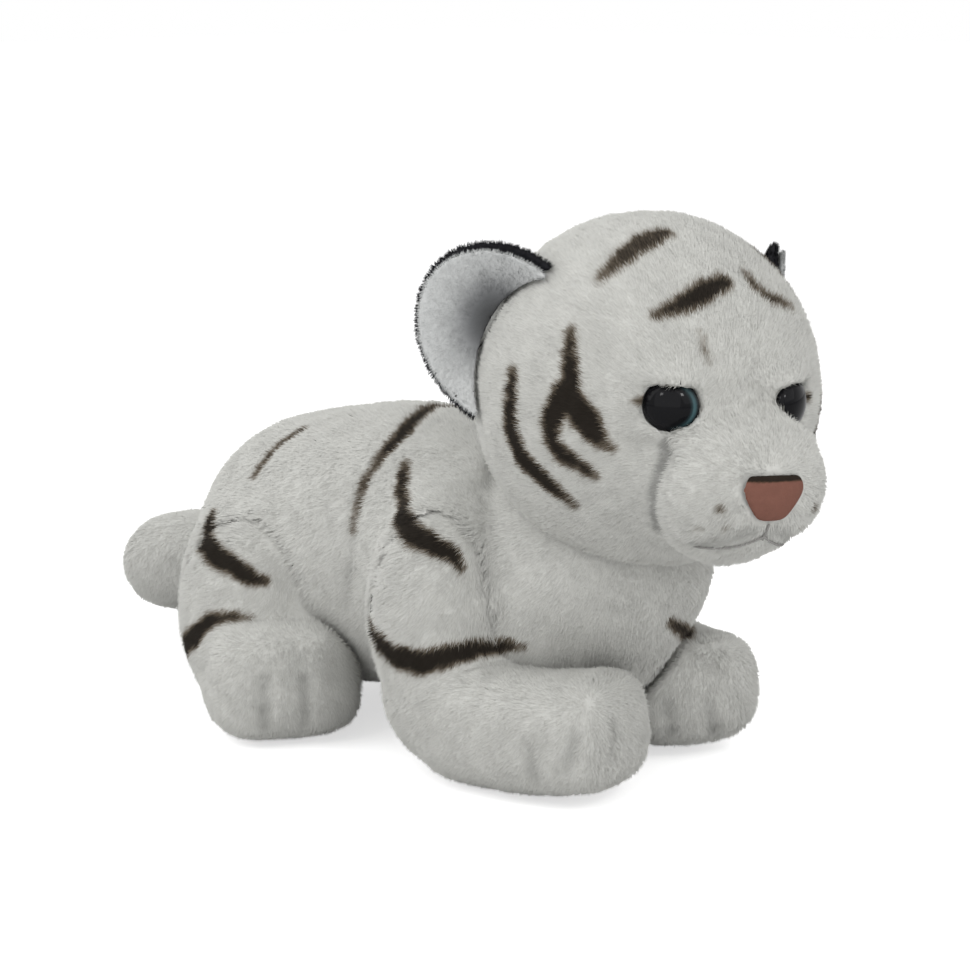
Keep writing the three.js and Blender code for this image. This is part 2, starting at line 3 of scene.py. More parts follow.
import bpy
import numpy as np
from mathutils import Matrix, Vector


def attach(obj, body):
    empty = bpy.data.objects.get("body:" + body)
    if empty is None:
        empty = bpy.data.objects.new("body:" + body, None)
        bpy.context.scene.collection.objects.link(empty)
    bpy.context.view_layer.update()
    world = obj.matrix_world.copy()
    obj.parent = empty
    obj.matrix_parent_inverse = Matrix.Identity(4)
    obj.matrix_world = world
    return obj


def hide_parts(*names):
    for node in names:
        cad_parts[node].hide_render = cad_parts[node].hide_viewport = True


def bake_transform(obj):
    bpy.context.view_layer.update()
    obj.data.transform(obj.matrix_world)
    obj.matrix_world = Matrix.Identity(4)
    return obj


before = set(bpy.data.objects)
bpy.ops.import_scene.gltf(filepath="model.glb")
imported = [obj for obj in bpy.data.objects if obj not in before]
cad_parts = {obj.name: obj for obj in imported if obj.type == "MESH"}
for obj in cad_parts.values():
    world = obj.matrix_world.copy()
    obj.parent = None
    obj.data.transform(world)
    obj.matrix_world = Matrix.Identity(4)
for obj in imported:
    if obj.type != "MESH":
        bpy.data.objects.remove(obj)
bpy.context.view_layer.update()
scene = bpy.context.scene

# View and light
# The cub is seen from its right front, a little from above, through a long lens.
# Three broad soft lamps stand round it, two small windows glint in its eyes, and a pale room fills in.
mm = 0.001
photo_width = 970
photo_height = 971
lens_length = 110.0
film_width = 36.0
view_turn = -45.0
view_rise = 10.5
view_distance = 1100.0
view_aim = np.array([18.0, -5.8, 87.0])


def direction(turn, rise):
    """The way out from the cub at a turn from its front and a rise, both in degrees."""
    turn, rise = math.radians(turn), math.radians(rise)
    return np.array([
        math.sin(turn) * math.cos(rise),
        -math.cos(turn) * math.cos(rise),
        math.sin(rise),
    ])


def placed(name, data):
    """A new object in the scene."""
    thing = bpy.data.objects.new(name, data)
    scene.collection.objects.link(thing)
    return thing


toward_camera = direction(view_turn, view_rise)
camera_place = view_aim + toward_camera * view_distance

camera_data = bpy.data.cameras.new("camera")
camera_data.lens = lens_length
camera_data.sensor_width = film_width
camera_data.sensor_fit = "HORIZONTAL"
camera_data.clip_start = 0.01
camera_data.clip_end = 20.0
camera = placed("camera", camera_data)
camera.location = Vector(camera_place) * mm
camera.rotation_euler = Vector(toward_camera).to_track_quat("Z", "Y").to_euler()
scene.camera = camera
scene.view_settings.view_transform = "Standard"

# Turn and rise in degrees, distance and size in metres, and watts
lamps = {
    "rear lamp": (-140, 45, 1.8, 2.2, 20.5),
    "front lamp": (10, 40, 1.8, 2.2, 12.5),
    "side lamp": (-60, 18, 1.8, 2.2, 10.5),
    "left window": (-74, 33, 1.6, 0.2, 1.4),
    "right window": (-18, 33, 1.6, 0.2, 2.6),
}
for name, (turn, rise, distance, size, watts) in lamps.items():
    data = bpy.data.lights.new(name, "AREA")
    data.size = size
    data.energy = watts
    lamp = placed(name, data)
    out = Vector(direction(turn, rise))
    lamp.location = Vector(view_aim) * mm + out * distance
    lamp.rotation_euler = out.to_track_quat("Z", "Y").to_euler()

room_light = 0.53
seen_light = 1.0
world = bpy.data.worlds.new("pale room")
scene.world = world
world.use_nodes = True
nodes, links = world.node_tree.nodes, world.node_tree.links
paths = nodes.new("ShaderNodeLightPath")
seen = paths.outputs["Is Camera Ray"]
for kind in ("Is Glossy Ray", "Is Transmission Ray"):
    either = nodes.new("ShaderNodeMath")
    either.operation = "MAXIMUM"
    links.new(seen, either.inputs[0])
    links.new(paths.outputs[kind], either.inputs[1])
    seen = either.outputs[0]
strength = nodes.new("ShaderNodeMapRange")
strength.inputs["To Min"].default_value = room_light
strength.inputs["To Max"].default_value = seen_light
links.new(seen, strength.inputs["Value"])
links.new(strength.outputs[0], nodes["Background"].inputs["Strength"])
nodes["Background"].inputs["Color"].default_value = (1.0, 1.0, 1.0, 1.0)

# Torso
# A sewn skin of short white plush, filled tight with fibre round a small pouch of pellets.
# It is cut in one barrel with a round chest, and the legs, the tail and the neck turn in pockets of it.
seam_gap = 0.3
skin_depth = 1.2
# Every form is moved by this, which puts the middle of the whole cub over the origin
lie = np.array([0.0, -5.606, 0.0])

torso_front = -84.0
torso_length = 201.0
torso_top = 119.0
torso_half_width = 49.0
barrel_sections = [
    (0.00, 0.56, 0.80, 0.36),
    (0.25, 0.53, 0.90, 0.41),
    (0.48, 0.55, 0.97, 0.45),
    (0.72, 0.50, 1.00, 0.43),
    (1.00, 0.41, 0.94, 0.35),
]
barrel_caps = (34.0, 56.0)
barrel_squareness = 2.15
neck_joint = np.array([0.0, -73.0, 74.0])
chest_radius = 42.0
brisket_middle = (0.0, -62.0, 51.0)
brisket_half = (40.0, 36.0, 36.0)
foreleg_line = (43.0, -42.0)
shoulder_height = 92.0
shoulder_radius = 25.0
elbow_radius = 21.0
elbow_rise = 4.0
hindleg_line = (43.0, 56.0)
thigh_radius = 30.0
thigh_height = 78.0
pressed_down = 0.5
tail_joint = np.array([0.0, 106.0, 50.0])
tail_root_radius = 19.0


def unit(rows):
    """Each row as a direction of length 1."""
    return rows / np.maximum(np.linalg.norm(rows, axis=1), 1e-6)[:, None]


def smooth_least(fields, soft):
    """The least of several fields, with soft valleys where two forms meet."""
    stack = np.stack(fields)
    least = stack.min(0)
    return least - soft * np.log(np.exp((least - stack) / soft).sum(0))


def less(field, cut, soft=1.0):
    """A form less another one, with the edge between them rounded."""
    return -smooth_least([-field, cut], soft)


def ball(middle, half, turned=None):
    """Field of an oval ball, about the distance from its surface and negative inside."""
    middle = np.asarray(middle, float)
    half = np.asarray(half, float)

    def field(points):
        offset = points - middle
        if turned is not None:
            offset = offset @ turned
        near = np.linalg.norm(offset / half, axis=1)
        slope = np.linalg.norm(offset / half ** 2, axis=1)
        return near * (near - 1.0) / np.maximum(slope, 1e-6)

    return field


def curve_through(points, count):
    """A smooth curve through the points, which leaves each at an even pace."""
    points = np.asarray(points, float)
    ends = np.vstack([2 * points[0] - points[1], points, 2 * points[-1] - points[-2]])
    spans = len(points) - 1
    rows = []
    for place in np.linspace(0, spans, count):
        i = min(int(place), spans - 1)
        w = place - i
        a, b, c, d = ends[i:i + 4]
        ab, bc, cd = (np.linalg.norm(q - p) ** 0.5 for p, q in ((a, b), (b, c), (c, d)))
        bc = bc if bc > 1e-4 else 1.0
        ab = ab if ab > 1e-4 else bc
        cd = cd if cd > 1e-4 else bc
        start = ((b - a) / ab - (c - a) / (ab + bc) + (c - b) / bc) * bc
        stop = ((c - b) / bc - (d - b) / (bc + cd) + (d - c) / cd) * bc
        square, cube = w ** 2, w ** 3
        rows.append(
            (2 * cube - 3 * square + 1) * b + (cube - 2 * square + w) * start
            + (3 * square - 2 * cube) * c + (cube - square) * stop
        )
    return np.array(rows)


limb_rows = 64


def limb(spine, sizes, caps, squareness=2.0, bluntness=2.0):
    """Field of a stuffed tube; sizes hold half width, half height above and half height below."""
    path = curve_through(spine, limb_rows)
    girth = curve_through(sizes, limb_rows)
    steps = np.linalg.norm(np.diff(path, axis=0), axis=1)
    run = np.concatenate([[0.0], np.cumsum(steps)])
    ahead = unit(np.gradient(path, axis=0))
    across = unit(np.cross(ahead, [0.0, 0.0, 1.0]))
    rise = np.cross(across, ahead)
    first, last = caps

    def along(rows, places):
        return np.stack([np.interp(places, run, rows[:, k]) for k in range(3)], 1)

    def field(points):
        reach = ((points[:, None, :] - path[None]) ** 2).sum(2)
        nearest = reach.argmin(1)
        place = run[nearest] + ((points - path[nearest]) * ahead[nearest]).sum(1)
        place = np.clip(place, first, run[-1] - last)
        offset = points - along(path, place)
        u = (offset * along(across, place)).sum(1)
        v = (offset * along(ahead, place)).sum(1)
        w = (offset * along(rise, place)).sum(1)
        size = along(girth, place)
        wide = size[:, 0]
        high = np.where(w > 0, size[:, 1], size[:, 2])
        deep = np.where(v < 0, first, last)
        x, y, z = np.abs(u) / wide, np.abs(v) / deep, np.abs(w) / high
        section = (x ** squareness + z ** squareness) ** (bluntness / squareness)
        near = (section + y ** bluntness) ** (1 / bluntness)
        slope = np.sqrt((x / wide) ** 2 + (y / deep) ** 2 + (z / high) ** 2)
        return near * (near - 1.0) / np.maximum(slope, 1e-6)

    return field


def in_turns(field, points, most=40000):
    """A field's values, worked out a part at a time."""
    return np.concatenate([field(points[i:i + most]) for i in range(0, len(points), most)])


def slopes(field, points, reach=0.25):
    """A field's values, and the direction in which it grows at each point."""
    here = in_turns(field, points)
    grown = np.stack([in_turns(field, points + reach * axis) for axis in np.eye(3)], 1)
    return here, (grown - here[:, None]) / reach


def closed_surface(field, low, high, step):
    """Corners and four-sided faces of the closed surface on which a field is zero."""
    rough = 4
    lines = [np.arange(a, b + step, step) for a, b in zip(low, high)]
    wide_lines = [line[::rough] for line in lines]
    spots = np.stack(np.meshgrid(*wide_lines, indexing="ij"), -1)
    values = in_turns(field, spots.reshape(-1, 3)).reshape(spots.shape[:3])
    picks = [
        np.minimum((np.arange(len(line)) + rough // 2) // rough, len(few) - 1)
        for line, few in zip(lines, wide_lines)
    ]
    values = values[np.ix_(*picks)]
    close = np.abs(values) < 1.5 * rough * step
    values[close] = in_turns(field, np.stack(np.meshgrid(*lines, indexing="ij"), -1)[close])
    inside = values < 0
    corners = [(i, j, k) for i in (0, 1) for j in (0, 1) for k in (0, 1)]
    nx, ny, nz = (n - 1 for n in inside.shape)
    count = sum(
        inside[i:i + nx, j:j + ny, k:k + nz].astype(np.int8) for i, j, k in corners
    )
    cut = (count > 0) & (count < 8)
    cells = np.argwhere(cut)
    number = np.full(cut.shape, -1)
    number[cut] = np.arange(len(cells))
    total = np.zeros((len(cells), 3))
    hits = np.zeros(len(cells))
    for a in corners:
        for axis in range(3):
            if a[axis]:
                continue
            b = tuple(a[k] + (k == axis) for k in range(3))
            va = values[tuple((cells + a).T)]
            vb = values[tuple((cells + b).T)]
            crossed = (va < 0) != (vb < 0)
            share = va[crossed] / (va[crossed] - vb[crossed])
            spot = np.tile(np.array(a, float), (crossed.sum(), 1))
            spot[:, axis] += share
            total[crossed] += spot
            hits[crossed] += 1
    places = (cells + total / hits[:, None]) * step + np.asarray(low)
    faces = []
    for axis in range(3):
        one, two = [k for k in range(3) if k != axis]
        size = list(inside.shape)
        size[axis] -= 1
        window = [slice(0, n) for n in size]
        window[one] = slice(1, size[one] - 1)
        window[two] = slice(1, size[two] - 1)
        beyond = list(window)
        beyond[axis] = slice(1, size[axis] + 1)
        here, there = inside[tuple(window)], inside[tuple(beyond)]
        for leaving in (True, False):
            edge = np.argwhere(here & ~there if leaving else there & ~here)
            edge[:, one] += 1
            edge[:, two] += 1
            ring = []
            for back_one, back_two in ((1, 1), (0, 1), (0, 0), (1, 0)):
                cell = edge.copy()
                cell[:, one] -= back_one
                cell[:, two] -= back_two
                ring.append(number[tuple(cell.T)])
            quad = np.stack(ring, 1)
            if leaving == (axis == 1):
                quad = quad[:, ::-1]
            faces.append(quad)
    for _ in range(3):
        value, slope = slopes(field, places)
        size = np.maximum((slope ** 2).sum(1), 0.2)
        pull = slope * (value / size)[:, None]
        places -= np.clip(pull, -step, step)
    return places, np.concatenate(faces)


def mesh_piece(name, places, faces):
    """An object from corners in millimetres and faces that all have the same number of corners."""
    mesh = bpy.data.meshes.new(name)
    count, sides = faces.shape
    mesh.vertices.add(len(places))
    mesh.vertices.foreach_set("co", (places * mm).astype(np.float32).ravel())
    mesh.loops.add(count * sides)
    mesh.loops.foreach_set("vertex_index", faces.astype(np.int32).ravel())
    mesh.polygons.add(count)
    mesh.polygons.foreach_set("loop_start", np.arange(0, count * sides, sides, dtype=np.int32))
    mesh.polygons.foreach_set("use_smooth", np.ones(count, bool))
    mesh.update(calc_edges=True)
    mesh.validate()
    return placed(name, mesh)


def paint(piece, name, values):
    """Keeps a share from 0 to 1 for each corner of a mesh, for its material to read."""
    layer = piece.data.attributes.get(name) or piece.data.attributes.new(name, "FLOAT", "POINT")
    layer.data.foreach_set("value", np.asarray(values, np.float32))


barrel_spine = [
    (0.0, torso_front + place * torso_length, height * torso_top)
    for place, height, _, _ in barrel_sections
]
barrel_sizes = [
    (wide * torso_half_width, high * torso_top, high * torso_top)
    for _, _, wide, high in barrel_sections
]
barrel = limb(np.array(barrel_spine) + lie, barrel_sizes, barrel_caps, barrel_squareness)
chest = ball(neck_joint + lie, (chest_radius,) * 3)
brisket = ball(np.array(brisket_middle) + lie, brisket_half)


def foreleg_column(side):
    """The shoulder and elbow, round about the upright line that the foreleg turns on."""
    x, y = side * foreleg_line[0], foreleg_line[1] + lie[1]
    middle = shoulder_height / 2 + elbow_radius / 3
    upper = ball((x, y, middle), (shoulder_radius, shoulder_radius, shoulder_height - middle))
    elbow = ball((x, y, elbow_radius + elbow_rise), (elbow_radius,) * 3)
    return lambda points: smooth_least([upper(points), elbow(points)], 2.0)


def thigh(side):
    """The thigh, round about the upright line that the hind leg turns on."""
    x, y = side * hindleg_line[0], hindleg_line[1] + lie[1]
    height = thigh_height / 2 - pressed_down
    return ball((x, y, height), (thigh_radius, thigh_radius, thigh_height / 2))


sides = (("right", -1), ("left", 1))
forelegs = {word: foreleg_column(side) for word, side in sides}
thighs = {word: thigh(side) for word, side in sides}
tail_root = ball(tail_joint + lie, (tail_root_radius,) * 3)

head_middle = np.array([-2.0, -98.0, 135.5]) + lie
head_turn = math.radians(-17.0)
head_lean = math.radians(3.0)
skull_half = np.array([60.0, 58.5, 61.5])


def turned_about(axis, angle):
    """The turn about X (0), Y (1) or Z (2), as a matrix for column vectors."""
    one, two = [(1, 2), (2, 0), (0, 1)][axis]
    matrix = np.eye(3)
    matrix[one, one] = matrix[two, two] = math.cos(angle)
    matrix[one, two] = -math.sin(angle)
    matrix[two, one] = math.sin(angle)
    return matrix


head_axes = turned_about(2, head_turn) @ turned_about(1, head_lean)
skull = ball(head_middle, skull_half, head_axes)

# The collar is cut clear of the head in every pose of its nod and its turn, in degrees
nods = (-6.0, 3.0, 12.0)
turns = (-17.0, 0.0, 17.0)
pivot = neck_joint + lie
collar_rooms = []
for nod in nods:
    for turn in turns:
        swing = turned_about(2, math.radians(turn)) @ turned_about(0, math.radians(nod))
        collar_rooms.append(
            ball(pivot + swing @ (head_middle - pivot), skull_half + seam_gap, swing @ head_axes)
        )

# The torso swells round each shoulder and hip, so that the legs grow out of it softly
# From each leg's line: inward, back, the height of the middle, and the half sizes
swells = [
    (foreleg_line, 7, 5, 54, (28, 30, 44)),
    (hindleg_line, 8, 8, 42, (30, 34, 42)),
]
torso_softness = 5.0
chest_softness = 3.0
limb_softness = 0.8
torso_parts = [barrel, brisket]
for _, side in sides:
    for (x, y), inward, back, height, half in swells:
        torso_parts.append(ball((side * (x - inward), y + lie[1] + back, height), half))
set_in = [*forelegs.values(), *thighs.values(), tail_root]


def torso_blank(points):
    """The torso alone, without its chest."""
    return smooth_least([form(points) for form in torso_parts], torso_softness)


def with_limbs(points, soft):
    """The torso as if the legs and the tail had grown on it."""
    return smooth_least([torso_blank(points), *(form(points) for form in set_in)], soft)


def torso_outside(points):
    """All that shows of the cub below its head."""
    return smooth_least([with_limbs(points, limb_softness), chest(points)], chest_softness)


clear_of_cub = 230.0
careful = 0.8


def seen_at(pixels, form):
    """The places on a form that the camera sees at these pixels of the photograph."""
    pixels = np.asarray(pixels, float)
    turn = np.array(camera.rotation_euler.to_matrix())
    x = (pixels[:, 0] / photo_width - 0.5) * film_width / lens_length
    y = (0.5 * photo_height - pixels[:, 1]) / photo_width * film_width / lens_length
    ways = np.stack([x, y, -np.ones(len(x))], 1) @ turn.T
    ways /= np.linalg.norm(ways, axis=1)[:, None]
    reach = np.full(len(x), view_distance - clear_of_cub)
    for _ in range(60):
        reach += careful * form(camera_place + ways * reach[:, None])
    return camera_place + ways * reach[:, None]


def drawn_on(form, rows, mirror=None, dark=1.0):
    """Lines on a form from rows of pixels, each with a half width in millimetres, and their mirror images."""
    lines = []
    for row in rows:
        row = np.array(row, float)
        line = np.column_stack([seen_at(row[:, :2], form), row[:, 2], np.full(len(row), dark)])
        lines.append(line)
        if mirror is not None:
            lines.append(np.column_stack([mirror(line[:, :3]), line[:, 3:]]))
    return lines


def mirrored(places):
    """The same places on the other side of the cub."""
    return places * (-1.0, 1.0, 1.0)


def beside_line(points, line):
    """How far each point lies outside a line that has its own half width."""
    best = np.full(len(points), np.inf)
    for a, b in zip(line[:-1], line[1:]):
        span = b[:3] - a[:3]
        share = np.clip(((points - a[:3]) @ span) / (span @ span), 0.0, 1.0)
        off = np.linalg.norm(points - a[:3] - share[:, None] * span, axis=1)
        best = np.minimum(best, off - (a[3] + share * (b[3] - a[3])))
    return best


def creased(points, lines, width=2.6):
    """How far the cloth is drawn in along sewn lines; each line's own number is its depth."""
    drawn = np.zeros(len(points))
    for line in lines:
        low, high = line[:, :3].min(0) - 3 * width, line[:, :3].max(0) + 3 * width
        near = ((points > low) & (points < high)).all(1)
        if not near.any():
            continue
        bare = np.column_stack([line[:, :3], np.zeros(len(line))])
        off = beside_line(points[near], bare)
        depth = line[:, 3].mean()
        drawn[near] = np.maximum(drawn[near], depth * np.exp(-((off / width) ** 2)))
    return drawn


# Pixels of the photograph that each mark runs through: half width for a stripe, depth for a crease
shoulder_seam = [
    (436, 402, 0.9), (405, 427, 1.0), (385, 446, 1.1), (367, 470, 1.1), (357, 495, 1.1),
    (352, 530, 1.1), (350, 560, 1.1), (345, 605, 1.0),
]
torso_stripes = [
    [
        (436, 402, 1.2), (420, 412, 1.9), (403, 429, 2.2), (385, 448, 1.7), (368, 470, 1.0),
        (357, 496, 0.6), (351, 530, 0.2),
    ],
    [
        (405, 462, 0.6), (399, 487, 1.8), (401, 515, 2.7), (417, 535, 2.8), (436, 546, 2.2),
        (451, 552, 1.6), (461, 566, 0.4),
    ],
    [
        (371, 620, 0.5), (379, 639, 1.8), (396, 656, 2.7), (422, 662, 2.9), (448, 655, 2.6),
        (476, 648, 2.1), (502, 646, 1.2), (522, 647, 0.3),
    ],
    [(211, 513, 0.8), (208, 540, 2.8), (217, 556, 2.9), (235, 566, 2.1), (250, 576, 1.6), (265, 581, 0.5)],
    [(186, 646, 2.6), (197, 636, 2.8), (210, 622, 1.9), (228, 617, 0.8), (250, 620, 0.3)],
    [(302, 427, 0.4), (284, 438, 0.7), (268, 452, 0.6), (252, 474, 0.2)],
]
far_elbow_stripe = [(673, 623, 0.4), (687, 632, 1.0), (703, 642, 0.9)]
body_stripes = drawn_on(torso_outside, torso_stripes, mirrored)
body_stripes += drawn_on(torso_outside, [far_elbow_stripe])
body_creases = drawn_on(torso_outside, [shoulder_seam], mirrored)


def torso_form(points):
    """The torso with its collar, and with pockets for the legs and the tail."""
    collar = smooth_least([room(points) for room in collar_rooms], 1.0)
    blank = less(with_limbs(points, limb_softness), collar, 2.0)
    blank = smooth_least([blank, chest(points)], chest_softness) + creased(points, body_creases)
    for form in set_in:
        blank = less(blank, form(points) - seam_gap, 0.4)
    return blank


def beside_seam(points):
    """About how far each point lies from the seam of a leg or the tail."""
    return np.abs(torso_blank(points)) + np.min([np.abs(form(points)) for form in set_in], 0)


seam_reach = 14
seam_spread = 6


def evened(points, up):
    """Turns the pile beside a leg or the tail as if the cloth ran on over the seam."""
    beside = beside_seam(points)
    near = beside < seam_reach
    share = np.exp(-((beside[near] / seam_spread) ** 2))[:, None]
    slope = slopes(lambda places: with_limbs(places, torso_softness), points[near])[1]
    turned = up.copy()
    turned[near] = (1 - share) * up[near] + share * slope
    return unit(turned)


def lattice(points, size, seed):
    """Three smooth random values for each point, from -1 to 1, that change over the given size."""
    cell = points / size
    low = np.floor(cell).astype(np.int64)
    share = cell - low
    share = share * share * (3 - 2 * share)
    total = np.zeros((len(points), 3))
    for corner in np.ndindex(2, 2, 2):
        key = low + corner
        mixed = (key[:, 0] * 73856093) ^ (key[:, 1] * 19349663) ^ (key[:, 2] * 83492791)
        mixed = (mixed + seed * 2654435761) & 0xFFFFFFFF
        weight = np.prod(np.where(corner, share, 1 - share), axis=1)
        for axis in range(3):
            mixed = (mixed * 1103515245 + 12345) & 0xFFFFFFFF
            total[:, axis] += weight * ((mixed >> 12 & 0xFFFF) / 32767.5 - 1)
    return total


dye_reach = 8
dye_fade = 4.2
wander_sizes = (3.2, 1.3)


def striped(points, lines, seed):
    """The share of dark dye at each point: 1 in the middle of a stripe, and fading out past its edge."""
    share = np.zeros(len(points))
    wander = 0.6 * lattice(points, wander_sizes[0], seed)[:, 0]
    wander += 0.4 * lattice(points, wander_sizes[1], seed + 1)[:, 0]
    for line in lines:
        low, high = line[:, :3].min(0) - dye_reach, line[:, :3].max(0) + dye_reach
        near = ((points > low) & (points < high)).all(1)
        if near.any():
            off = beside_line(points[near], line) + wander[near]
            dye = line[0, 4] * np.clip(0.80 - off / dye_fade, 0.0, 1.0)
            share[near] = np.maximum(share[near], dye)
    return share


def pile_group():
    """Dye and pile: cloth colour, a brown edge, dark dye, a little mottled, and painted shade from the Depth
    share, darker deep in the pile and beside seams.
    """
    group = bpy.data.node_groups.new("plush pile", "ShaderNodeTree")
    face = group.interface
    for name in ("Cloth", "Halo", "Dye"):
        face.new_socket(name, in_out="INPUT", socket_type="NodeSocketColor")
    for name in ("Dyed", "Depth"):
        face.new_socket(name, in_out="INPUT", socket_type="NodeSocketFloat")
    face.new_socket("Color", in_out="OUTPUT", socket_type="NodeSocketColor")
    face.new_socket("Roughness", in_out="OUTPUT", socket_type="NodeSocketFloat")
    face.new_socket("Height", in_out="OUTPUT", socket_type="NodeSocketFloat")
    make, join = group.nodes.new, group.links.new
    taken, given = make("NodeGroupInput"), make("NodeGroupOutput")
    place = make("ShaderNodeTexCoord")

    def noise(scale, low, high):
        texture = make("ShaderNodeTexNoise")
        texture.inputs["Scale"].default_value = scale
        texture.inputs["Detail"].default_value = 2.0
        join(place.outputs["Object"], texture.inputs["Vector"])
        ranged = make("ShaderNodeMapRange")
        ranged.inputs["From Min"].default_value = 0.25
        ranged.inputs["From Max"].default_value = 0.75
        ranged.inputs["To Min"].default_value = low
        ranged.inputs["To Max"].default_value = high
        join(texture.outputs["Fac"], ranged.inputs["Value"])
        return ranged.outputs["Result"]

    def step(low, high):
        ranged = make("ShaderNodeMapRange")
        ranged.interpolation_type = "SMOOTHSTEP"
        ranged.inputs["From Min"].default_value = low
        ranged.inputs["From Max"].default_value = high
        join(taken.outputs["Dyed"], ranged.inputs["Value"])
        return ranged.outputs["Result"]

    def mix(kind, factor, one, two):
        node = make("ShaderNodeMix")
        node.data_type = "RGBA"
        node.blend_type = kind
        node.inputs["Factor"].default_value = 1.0
        if factor is not None:
            join(factor, node.inputs["Factor"])
        join(one, node.inputs[6])
        join(two, node.inputs[7])
        return node.outputs[2]

    edged = mix("MIX", step(low=0.03, high=0.60), taken.outputs["Cloth"], taken.outputs["Halo"])
    dyed = mix("MIX", step(low=0.36, high=0.84), edged, taken.outputs["Dye"])
    mottled = mix("MULTIPLY", None, dyed, noise(scale=130.0, low=0.93, high=1.03))
    # The Depth share darkens the colour: painted shade under the pile, at the feet of the blades and beside
    # seams, and a random tone on the nose.
    join(mix("MULTIPLY", None, mottled, taken.outputs["Depth"]), given.inputs["Color"])
    join(noise(scale=400.0, low=0.86, high=1.0), given.inputs["Roughness"])
    join(noise(scale=900.0, low=0.0, high=1.0), given.inputs["Height"])
    return group


shared_pile = pile_group()


def new_material(name):
    """A material, its shader, its nodes and its links."""
    material = bpy.data.materials.new(name)
    material.use_nodes = True
    tree = material.node_tree
    return material, tree.nodes["Principled BSDF"], tree.nodes, tree.links


fibre_height = 0.0005
fibre_shine = 0.12


def plush(name, cloth, halo, dye, bump=0.2):
    """A plush cloth, whose mesh keeps how much each place is dyed and how much it is darkened, mostly by
    painted shade deep in the pile and beside seams.
    """
    material, shader, nodes, links = new_material(name)
    group = nodes.new("ShaderNodeGroup")
    group.node_tree = shared_pile
    for socket, colour in (("Cloth", cloth), ("Halo", halo), ("Dye", dye)):
        group.inputs[socket].default_value = (*colour, 1.0)
    # The depth share read here is painted shade, with a random tone on the nose.
    for socket in ("Dyed", "Depth"):
        share = nodes.new("ShaderNodeAttribute")
        share.attribute_name = socket.lower()
        links.new(share.outputs["Fac"], group.inputs[socket])
    links.new(group.outputs["Color"], shader.inputs["Base Color"])
    links.new(group.outputs["Roughness"], shader.inputs["Roughness"])
    raised = nodes.new("ShaderNodeBump")
    raised.inputs["Strength"].default_value = bump
    raised.inputs["Distance"].default_value = fibre_height
    links.new(group.outputs["Height"], raised.inputs["Height"])
    links.new(raised.outputs["Normal"], shader.inputs["Normal"])
    shader.inputs["Specular IOR Level"].default_value = fibre_shine
    return material


white_cloth = (0.60, 0.60, 0.57)
brown_edge = (0.165, 0.135, 0.10)
dark_dye = (0.022, 0.018, 0.014)
white_plush = plush("white plush", white_cloth, brown_edge, dark_dye)

cloths = {}


# Painted shade beside sewn lines: darkening for each millimetre of crease, its width, and the crease depth
# past which it grows no darker
seam_shade = 0.20
shade_width = 2.4
shaded_depth = 2.2


def painted_seam_shade(points, creases):
    """Painted shade beside a sewn line: the share of its brightness that the pile keeps there."""
    return 1.0 - seam_shade * np.minimum(creased(points, creases, shade_width), shaded_depth)


def hold(piece, body, bend):
    """A piece moves with its body; a piece sewn to two bodies is left where it is, with its place baked into
    its mesh.
    """
    if bend:
        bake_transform(piece)
    else:
        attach(piece, body)


def read(rows, name, kind=np.float32):
    """The three numbers of this name for each row of a mesh."""
    values = np.empty(len(rows) * 3, kind)
    rows.foreach_get(name, values)
    return values.reshape(-1, 3)


def skin(
    name, body, form, low, high, step, replaced, slot="white_plush", material=white_plush,
    stripes=(), creases=(), deep=0.86, even=None, bend=None,
):
    """The cloth of one stuffed piece, which lies below the tips of its pile."""
    places, faces = closed_surface(form, low, high, step)
    piece = mesh_piece(name, places, faces)
    paint(piece, "dyed", striped(places, stripes, 5))
    # Painted shade: the cloth is darker where it lies under its pile, by the share deep, and darker still
    # beside sewn lines.
    paint(piece, "depth", deep * painted_seam_shade(places, creases))
    if even is not None:
        turned = even(places, read(piece.data.vertices, "normal"))
        piece.data.normals_split_custom_set_from_vertices(turned.tolist())
    piece.data.materials.append(material)
    hold(piece, body, bend)
    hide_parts(*replaced)
    cloths[name] = (body, slot, bend)
    return piece


def fibre_cells(mesh, count):
    """A map with one small cell for each fibre."""
    across = math.ceil(math.sqrt(count))
    cell = np.arange(count)
    corner = np.stack([cell % across, cell // across], 1)[:, None, :]
    corner = corner + np.array([(0.15, 0.15), (0.85, 0.15), (0.5, 0.85)])
    layer = mesh.uv_layers.new(name="OFBake")
    layer.data.foreach_set("uv", (corner / across).astype(np.float32).ravel())


clump_size = 5.0
blade_rise = 0.36
blade_lean = 0.85
blade_clump = 0.25
blade_stray = 0.13
least_rise = 0.2
root_depth = 0.3
blade_lengths = (0.75, 1.15)
blade_widths = (0.8, 1.2)
blade_shades = (0.965, 1.02)
# Beside a seam the blades are longer by this share, over this distance
seam_longer = 0.5
seam_longer_reach = 4
# The light in the pile at both feet of a blade and at its tip
blade_light = [0.90, 0.90, 1.02]


